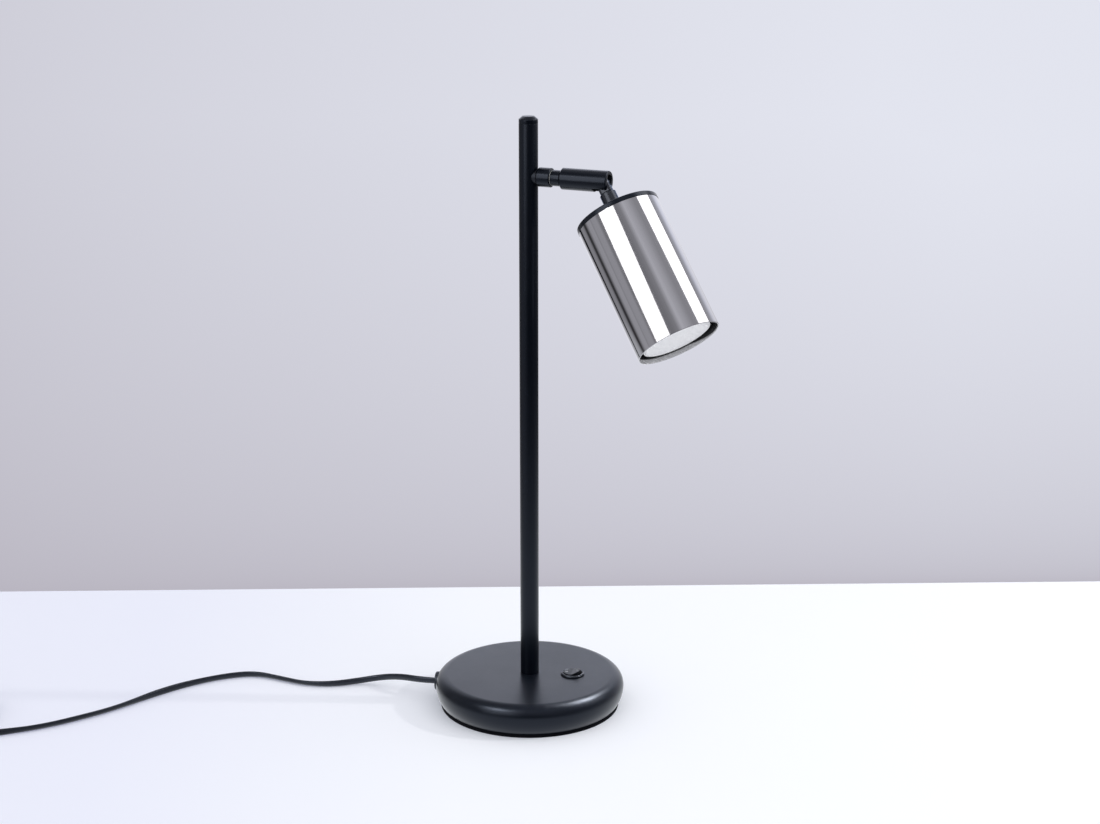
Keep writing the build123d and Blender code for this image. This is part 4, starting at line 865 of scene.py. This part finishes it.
# Shade: cap and tube
rim_r = shade_r + rim_proud
skirt_in = skirt_r - skirt_t
cap_ring = [
    (shade_drop, cap_hole_r, 0), (shade_drop, rim_r, rim_round), (rim_end, rim_r, 0.2),
    (rim_end, skirt_r, 0), (skirt_end, skirt_r, 0.3), (skirt_end, skirt_in, 0),
    (cap_inside, skirt_in, 0), (cap_inside, cap_hole_r, 0),
]
dress(lathe("shade_top", rounded(cap_ring, 8), pivot, head_dir, 256), "head", "shade_cap")

shade_in = shade_r - shade_wall
shade_corners = [
    (rim_end, shade_in, 0), (rim_end, shade_r, 0.12), (mouth, shade_r, 0.35), (mouth, shade_in, 0.35),
]
dress(lathe("shade_shell", rounded(shade_corners, 6), pivot, head_dir, 384), "head", "shade_tube")


# Lamp: housing with its rim steps, and the diffuser
def flared(share):
    """A corner of the lamp's reflector, which flares from its neck to its rim."""
    along = lamp_neck_end + (lamp_rim - lamp_neck_end) * share
    rise = lamp_r - lamp_lip - lamp_neck_r
    return (along, lamp_neck_r + rise * sin(share * pi / 2) ** 0.9, 0)


flare_steps = 14
lens_seat = lamp_face + lens_proud - lens_t
lens_hole_r = lens_r + fit
lamp_corners = [
    (lamp_base, 0, 0), (lamp_base, lamp_neck_r, 1.0), (lamp_neck_end, lamp_neck_r, 0),
    *[flared(k / flare_steps) for k in range(1, flare_steps + 1)],
    (lamp_rim + lamp_lip, lamp_r, 0.3), (lamp_face, lamp_r, 0.7), (lamp_face, lens_hole_r, 0.1),
    (lens_seat, lens_hole_r, 0), (lens_seat, 0, 0),
]
dress(lathe("lamp_shell", rounded(lamp_corners, 5), pivot, head_dir, 192), "lamp", "lamp_body")
lens_face = lens_seat + lens_t
lens_corners = [(lens_seat, 0, 0), (lens_seat, lens_r, 0), (lens_face, lens_r, 0.4), (lens_face, 0, 0)]
dress(lathe("lens_disc", rounded(lens_corners, 5), pivot, head_dir, 192), "lamp", "lamp_lens")

# Cord: one smooth line from the outlet, along the table, round the coil and to the plug
cord_d = 0.005
cord_exit = -base_x * ((base_r + 1.5) * mm) + up * (cord_z * mm)
cord_route = [
    (-0.0810, -0.0200, 0.0128),
    (-0.0990, -0.0162, 0.0110),
    (-0.1175, -0.0122, 0.0062),
    (-0.1344, -0.0193, 0.0030),
    (-0.1498, -0.0314, 0.0025),
    (-0.1700, -0.0371, 0.0025),
    (-0.1927, -0.0349, 0.0025),
    (-0.2148, -0.0348, 0.0025),
    (-0.2326, -0.0477, 0.0025),
    (-0.2484, -0.0677, 0.0025),
    (-0.2615, -0.0915, 0.0025),
    (-0.2724, -0.1207, 0.0025),
    (-0.2853, -0.1488, 0.0025),
    (-0.3045, -0.1794, 0.0025),
    (-0.3310, -0.2065, 0.0025),
    (-0.3615, -0.2285, 0.0025),
]
coil_turns = 7.25
coil_inner_r = 0.0202
coil_pitch = 0.0055
coil_points_per_turn = 16
coil_rise = 0.0053
coil_z = 0.0025
plug_axis_z = 0.00685
tail_run = 0.014

route = [cord_exit] + [Vector(point) for point in cord_route]
coil_in_dir = (route[-1] - route[-2]).normalized()
coil_start = route[-1] + coil_in_dir * cord_d
coil_outer_r = coil_inner_r + coil_pitch * coil_turns / 2
to_centre = Vector((coil_in_dir.y, -coil_in_dir.x, 0))
coil_centre = coil_start + to_centre * coil_outer_r
start_angle = atan2(-to_centre.y, -to_centre.x)


def coil_point(turn):
    """A point of the coil after so many turns, clockwise from above: in to the middle and out on top."""
    angle = start_angle - 2 * pi * turn
    off_middle = turn - coil_turns / 2
    r = coil_inner_r + coil_pitch * abs(off_middle)
    climb = min(max(off_middle * 2 + 0.5, 0), 1)
    z = coil_z + coil_rise * (1 - cos(pi * climb)) / 2
    return Vector((coil_centre.x + r * cos(angle), coil_centre.y + r * sin(angle), z))


coil_count = int(round(coil_turns * coil_points_per_turn))
polygon_out = 1 / cos(pi / coil_points_per_turn) - 1
for i in range(coil_count + 1):
    point = coil_point(coil_turns * i / coil_count)
    outward = Vector((point.x - coil_centre.x, point.y - coil_centre.y, 0))
    route.append(point + outward * (polygon_out / 2))
coil_end = coil_point(coil_turns)
end_out = (coil_end - coil_centre).normalized()
coil_out_dir = Vector((end_out.y, -end_out.x, 0)).normalized()
tail_from = coil_end + coil_out_dir * cord_d
tail_rise = up * (plug_axis_z - tail_from.z)
route += [
    tail_from,
    tail_from + coil_out_dir * tail_run,
    tail_from + coil_out_dir * (2.1 * tail_run) + tail_rise,
    tail_from + coil_out_dir * (3.1 * tail_run) + tail_rise,
]

# The oval section: its size, how it leans and rocks along the way, and where the coil begins
cord_inputs = {
    "Width": cord_d,
    "Thickness": 0.0033,
    "Step": 0.0016,
    "Lean": 1.15,
    "Rock": 0.4,
    "Wave": 0.17,
    "Coil Start": 0.4,
}
lying_z = 0.00255


def cord_line(name, points):
    """A NURBS curve through the route's control points."""
    curve = bpy.data.curves.new(name, "CURVE")
    curve.dimensions = "3D"
    curve.resolution_u = 8
    spline = curve.splines.new("NURBS")
    spline.points.add(len(points) - 1)
    for slot, point in zip(spline.points, points):
        slot.co = (*point, 1)
    spline.order_u = 3
    spline.use_endpoint_u = True
    return new_object(name, curve)


def line_points(points):
    """The points along the smooth line, in order."""
    line = cord_line("cord_path", points)
    mesh = finished_mesh(line)
    found = [v.co.copy() for v in mesh.vertices]
    bpy.data.objects.remove(line)
    bpy.data.meshes.remove(mesh)
    return found


def oval_sweep_tree(material):
    """Geometry nodes that sweep an oval along a curve, rock it, and set it down on the table."""
    group = bpy.data.node_groups.new("oval cord", "GeometryNodeTree")
    sockets = group.interface
    sockets.new_socket("Geometry", in_out="INPUT", socket_type="NodeSocketGeometry")
    for label, value in cord_inputs.items():
        socket = sockets.new_socket(label, in_out="INPUT", socket_type="NodeSocketFloat")
        socket.default_value = value
    sockets.new_socket("Geometry", in_out="OUTPUT", socket_type="NodeSocketGeometry")
    tree = NodeTree(group)
    enter = tree.add("NodeGroupInput").outputs

    def step(kind, inputs, leave="Geometry", **settings):
        return tree.add("GeometryNode" + kind, inputs, **settings).outputs[leave]

    def times(a, b):
        return tree.maths("MULTIPLY", a, b)

    spaced = {"Curve": enter["Geometry"], "Length": enter["Step"]}
    line = step("ResampleCurve", spaced, "Curve", mode="LENGTH")
    line = step("SetCurveNormal", {"Curve": line}, "Curve", mode="Z_UP")
    done = tree.add("GeometryNodeSplineParameter").outputs["Length"]
    far = tree.maths("DIVIDE", done, enter["Wave"])
    slow = tree.maths("SINE", times(far, 2 * pi))
    quick = tree.maths("SINE", tree.maths("ADD", times(far, 2 * pi * 2.3), 1.0))
    rock = times(tree.maths("ADD", slow, times(quick, 0.45)), enter["Rock"])
    left = tree.maths("SUBTRACT", enter["Coil Start"], done)
    loose = tree.remap(left, 0.0, 0.05, 0.0, 1.0)
    upright = pi / 2
    off_upright = tree.maths("SUBTRACT", tree.maths("ADD", rock, enter["Lean"]), upright)
    turned = tree.maths("ADD", times(off_upright, loose), upright)
    line = step("SetCurveTilt", {"Curve": line, "Tilt": turned}, "Curve")
    tall = times(tree.maths("SINE", turned), times(enter["Width"], 0.5))
    flat = times(tree.maths("COSINE", turned), times(enter["Thickness"], 0.5))
    half_high = tree.maths("SQRT", tree.maths("ADD", times(tall, tall), times(flat, flat)))
    height = tree.z_of(tree.add("GeometryNodeInputPosition").outputs["Position"])
    lying = tree.maths("LESS_THAN", height, lying_z)
    down = times(tree.maths("SUBTRACT", half_high, height), lying)
    shift = tree.add("ShaderNodeCombineXYZ", {"Z": down}).outputs["Vector"]
    line = step("SetPosition", {"Geometry": line, "Offset": shift})
    circle = step("CurvePrimitiveCircle", {"Resolution": 20, "Radius": 0.5}, "Curve")
    size = {"X": enter["Width"], "Y": enter["Thickness"], "Z": 1.0}
    scale = tree.add("ShaderNodeCombineXYZ", size).outputs["Vector"]
    oval = step("Transform", {"Geometry": circle, "Scale": scale})
    swept = step("CurveToMesh", {"Curve": line, "Profile Curve": oval, "Fill Caps": True}, "Mesh")
    real = step("RealizeInstances", {"Geometry": swept})
    finished = step("SetMaterial", {"Geometry": real, "Material": material})
    tree.add("NodeGroupOutput", {"Geometry": finished})
    return group


cord_path = line_points(route)
cord_curve = cord_line("cord_line", route)
sweep_modifier = cord_curve.modifiers.new("oval cord", "NODES")
sweep_modifier.node_group = oval_sweep_tree(slot_finish["cord_pvc"])
for item in sweep_modifier.node_group.interface.items_tree:
    if item.name in cord_inputs and item.in_out == "INPUT":
        sweep_modifier[item.identifier] = cord_inputs[item.name]
cord = new_object("mains_cord", finished_mesh(cord_curve))
bpy.data.objects.remove(cord_curve)
smooth_faces(cord, 60.0)
dress(cord, "stand", "power_cord", "power_cord_coil", "power_cord_tail")

# Room: table, wall, soft light and what polished metal sees
table_colour = (0.80, 0.80, 0.82)
table_lift = (0.178, 0.192, 0.218)
# The camera lift is weaker to the left: painted shade where the light falls off
table_lift_shaded_left = (0.113, 0.124, 0.203)
# What polished metal sees of the table: a painted glow, brightest near the lamp
table_sheen = (1.15, 1.19, 1.25)
wall_low = (0.482, 0.462, 0.526)
wall_high = (0.765, 0.780, 0.862)
wall_glow = (0.33, 0.38, 0.51)
soft_light = (0.78, 0.79, 0.82)
panel_white = (1.0, 0.99, 0.985)
wall_back = 0.2505
wall_slope = 0.027
room_reach = 6.0

right_dir = Vector((cos(camera_heading), sin(camera_heading), 0))
back_dir = Vector((-sin(camera_heading), cos(camera_heading), 0))


def room(x, y, z):
    """A place in the room, from the camera's right, its back and up."""
    return right_dir * x + back_dir * y + up * z


def stage_plane(name, corners, surface):
    """A flat stage piece from its corners, with a material that a function fills."""
    material, tree, shader = new_material(name)
    material.node_tree.nodes.remove(shader)
    tree.fill(material.node_tree.nodes["Material Output"], {"Surface": surface(tree)})
    mesh = bpy.data.meshes.new(name)
    mesh.from_pydata(corners, [], [list(range(len(corners)))])
    mesh.materials.append(material)
    plane = new_object(name, mesh)
    return plane


def table_surface(tree):
    """Near-white table top that keeps the lamp's shadow, lifted a little for the camera and less on the left as
    painted shade; to polished metal it glows as painted light, brightest near the lamp.
    """
    ray = tree.add("ShaderNodeLightPath").outputs
    place = tree.place()
    aside = tree.remap(tree.measure("DOT_PRODUCT", place, right_dir), -0.30, -0.05, 0.0, 1.0)
    lift = tree.glow(tree.blend(aside, table_lift_shaded_left, table_lift), ray["Is Camera Ray"])
    top = tree.add("ShaderNodeBsdfDiffuse", {"Color": table_colour}).outputs["BSDF"]
    # Painted light for polished metal to mirror: for glossy rays the table glows, brightest near the lamp, and
    # fades out from 0.22 m to 0.62 m
    reach = tree.measure("LENGTH", place)
    sheen = tree.glow(table_sheen, tree.remap(reach, 0.07, 0.20, 1.25, 1.0))
    clear = tree.add("ShaderNodeBsdfTransparent").outputs["BSDF"]
    mirrored_top = tree.choose(tree.remap(reach, 0.22, 0.62, 1.0, 0.0), clear, sheen)
    return tree.choose(ray["Is Glossy Ray"], tree.both(top, lift), mirrored_top)


def wall_surface(tree):
    """Pale wall, seen by the camera only, from its front, and paler upwards and to the right."""
    place = tree.place()
    climb = tree.remap(tree.z_of(place), 0.0, 0.40, 0.0, 1.0)
    aside = tree.remap(tree.measure("DOT_PRODUCT", place, right_dir), -0.45, 0.35, 0.0, 1.0)
    upwards = tree.maths("MULTIPLY", tree.maths("POWER", climb, 0.6), 0.46)
    sideways = tree.maths("MULTIPLY", tree.maths("POWER", aside, 0.8), 0.58)
    faded = tree.maths("MULTIPLY", sideways, tree.maths("POWER", climb, 0.3))
    tone = tree.blend(tree.maths("ADD", upwards, faded), wall_low, wall_high)
    clear = tree.add("ShaderNodeBsdfTransparent").outputs["BSDF"]
    behind = tree.add("ShaderNodeNewGeometry").outputs["Backfacing"]
    return tree.choose(behind, tree.glow(tone, 1.0), clear)


table_corners = [(x * room_reach, y * room_reach, 0) for x, y in quarters]
stage_plane("table", table_corners, table_surface)
wall_feet = [room(x, wall_back + x * wall_slope, 0) for x in (-room_reach, room_reach)]
wall_tops = [foot + up * room_reach for foot in reversed(wall_feet)]
wall = stage_plane("wall", wall_feet + wall_tops, wall_surface)
for flag in ("visible_glossy", "visible_diffuse", "visible_shadow", "visible_transmission"):
    setattr(wall, flag, False)

# What the shade mirrors to the camera, as turns round its axis
shade_middle = pivot + head_dir * (0.5 * (shade_drop + mouth) * mm)
to_shade = (shade_middle - camera.location).normalized()
along_share = to_shade.dot(head_dir)
across_share = sqrt(1 - along_share**2)
toward = ((head_dir * along_share - to_shade) / across_share).normalized()
rightward = toward.cross(head_dir).normalized()
if rightward.dot(right_dir) < 0:
    rightward = rightward * -1


def mirrored(turn):
    """The direction that the shade mirrors to the camera, at a turn round its axis in degrees."""
    spin = radians(turn)
    return head_dir * along_share + (rightward * sin(spin) + toward * cos(spin)) * across_share


def area_lamp(name, shape, width, height, radiance, unseen_by):
    """A flat lamp of an even radiance, which the camera and one other kind of ray don't see."""
    light = bpy.data.lights.new(name, "AREA")
    light.shape = shape
    light.size = width
    light.size_y = height
    light.energy = radiance * pi * width * height
    lamp = new_object(name, light)
    lamp.visible_camera = False
    setattr(lamp, unseen_by, False)
    return lamp


def aim(lamp, place, target):
    """Sets a lamp at a place, turned to a target."""
    lamp.location = place
    lamp.rotation_euler = (target - place).to_track_quat("-Z", "Y").to_euler()


def softbox(name, start, end, distance, length, radiance, lean=0.0):
    """A lamp panel that the shade mirrors between two turns round its axis, leant by an angle."""
    out = mirrored((start + end) / 2).normalized()
    width = 2 * distance * tan(radians(end - start) / 2)
    panel = area_lamp(name, "RECTANGLE", width, length, radiance, "visible_diffuse")
    panel.data.color = panel_white
    long_way = (head_dir - out * head_dir.dot(out)).normalized()
    side = long_way.cross(out)
    turn = Matrix.Rotation(radians(lean), 4, out) @ Matrix((side, long_way, out)).transposed().to_4x4()
    panel.matrix_world = Matrix.Translation(shade_middle + out * distance) @ turn


def soft_lamp(name, place, size, radiance):
    """A round lamp, turned to the stand, that polished metal doesn't mirror."""
    # A disc fills pi / 4 of the square that area_lamp reckons with
    lamp = area_lamp(name, "DISK", size, size, radiance * pi / 4, "visible_glossy")
    aim(lamp, place, room(0, 0, 0.1))


# Half the angle that a rim panel shines into, narrow enough to miss the shade and the pole's top
rim_spread = radians(18.0)


def rim_panel(name, place, width, height, radiance):
    """A small panel, turned to the base, that shows as a glint on its rounded rim."""
    gathered = tan(rim_spread) / (tan(rim_spread) - rim_spread)
    panel = area_lamp(name, "RECTANGLE", width, height, radiance / gathered, "visible_diffuse")
    panel.data.spread = 2 * rim_spread
    aim(panel, place, origin)


rim_panel("right_rim_panel", room(0.28, 0.21, 0.50), 0.34, 0.14, 80.0)
rim_panel("left_rim_panel", room(-0.42, -0.36, 0.68), 0.32, 0.24, 22.0)
soft_lamp("right_soft_lamp", room(1.1, -0.5, 1.7), 1.2, 1.2)
soft_lamp("low_right_lamp", room(1.35, -0.05, 0.92), 0.06, 560.0)
softbox("front_panel", -46.4, -8.6, 1.3, 1.1, 2.6, lean=-20.0)
softbox("side_panel", 71.2, 106.8, 1.2, 1.1, 2.6)

# What the shade mirrors between the panels: (turn round its axis in degrees, grey)
mirrored_bands = [
    (-180, 1.05), (-160, 0.95), (-150, 0.62), (-144, 0.40), (-134, 0.30), (-128, 0.42), (-120, 0.42),
    (-113, 0.32), (-109, 0.06), (-103, 0.07), (-99, 0.30), (-93, 0.55), (-81, 0.60), (-78, 0.42),
    (-75, 0.55), (-61, 0.56), (-53, 0.33), (0, 0.33), (13, 0.42), (25, 0.82), (40, 0.68), (57, 0.48),
    (112, 0.52), (124, 0.58), (136, 0.95), (160, 1.15),
]
band_blue = 1.08


def make_world():
    """Soft even light, a pale surround, and the grey bands that polished metal mirrors."""
    world = bpy.data.worlds.new("studio")
    bpy.context.scene.world = world
    world.use_nodes = True
    world.node_tree.nodes.clear()
    tree = NodeTree(world.node_tree)
    way = tree.add("ShaderNodeTexCoord").outputs["Generated"]

    def ramped(direction, low, high, to_low, to_high):
        return tree.remap(tree.measure("DOT_PRODUCT", way, direction), low, high, to_low, to_high)

    def background(colour, strength=1.0):
        inputs = {"Color": colour, "Strength": strength}
        return tree.add("ShaderNodeBackground", inputs).outputs["Background"]

    sideways = tree.measure("DOT_PRODUCT", way, rightward)
    forwards = tree.measure("DOT_PRODUCT", way, toward)
    share = tree.remap(tree.maths("ARCTAN2", sideways, forwards), -pi, pi, 0.0, 1.0)
    ramp = tree.add("ShaderNodeValToRGB", {"Fac": share})
    stops = ramp.color_ramp.elements
    while len(stops) < len(mirrored_bands):
        stops.new(0.5)
    for stop, (angle, grey) in zip(stops, mirrored_bands):
        stop.position = (angle + 180) / 360
        stop.color = (grey, grey, grey * band_blue, 1)

    # The bands are dim low down on the right and level ahead, and the wall glows behind
    low_right = tree.maths(
        "MULTIPLY", ramped(up, -0.22, 0.0, 1.0, 0.0), ramped(rightward, 0.0, 0.3, 0.0, 0.85)
    )
    level_ahead = tree.maths(
        "MULTIPLY", ramped(up, 0.10, 0.36, 1.0, 0.0),
        ramped(room(0.26, -0.97, 0), 0.62, 0.86, 0.0, 0.92),
    )
    kept = tree.remap(tree.maths("MAXIMUM", low_right, level_ahead), 0.0, 1.0, 1.0, 0.0)
    above_behind = tree.maths(
        "MULTIPLY", ramped(up, 0.0, 0.25, 0.0, 1.0), ramped(back_dir, 0.5, 0.95, 0.0, 1.0)
    )
    metal_sees = tree.both(background(ramp.outputs["Color"], kept), background(wall_glow, above_behind))
    ray = tree.add("ShaderNodeLightPath").outputs
    lit = tree.choose(ray["Is Glossy Ray"], background(soft_light), metal_sees)
    shown = tree.choose(ray["Is Camera Ray"], lit, background(wall_high))
    tree.add("ShaderNodeOutputWorld", {"Surface": shown})


make_world()
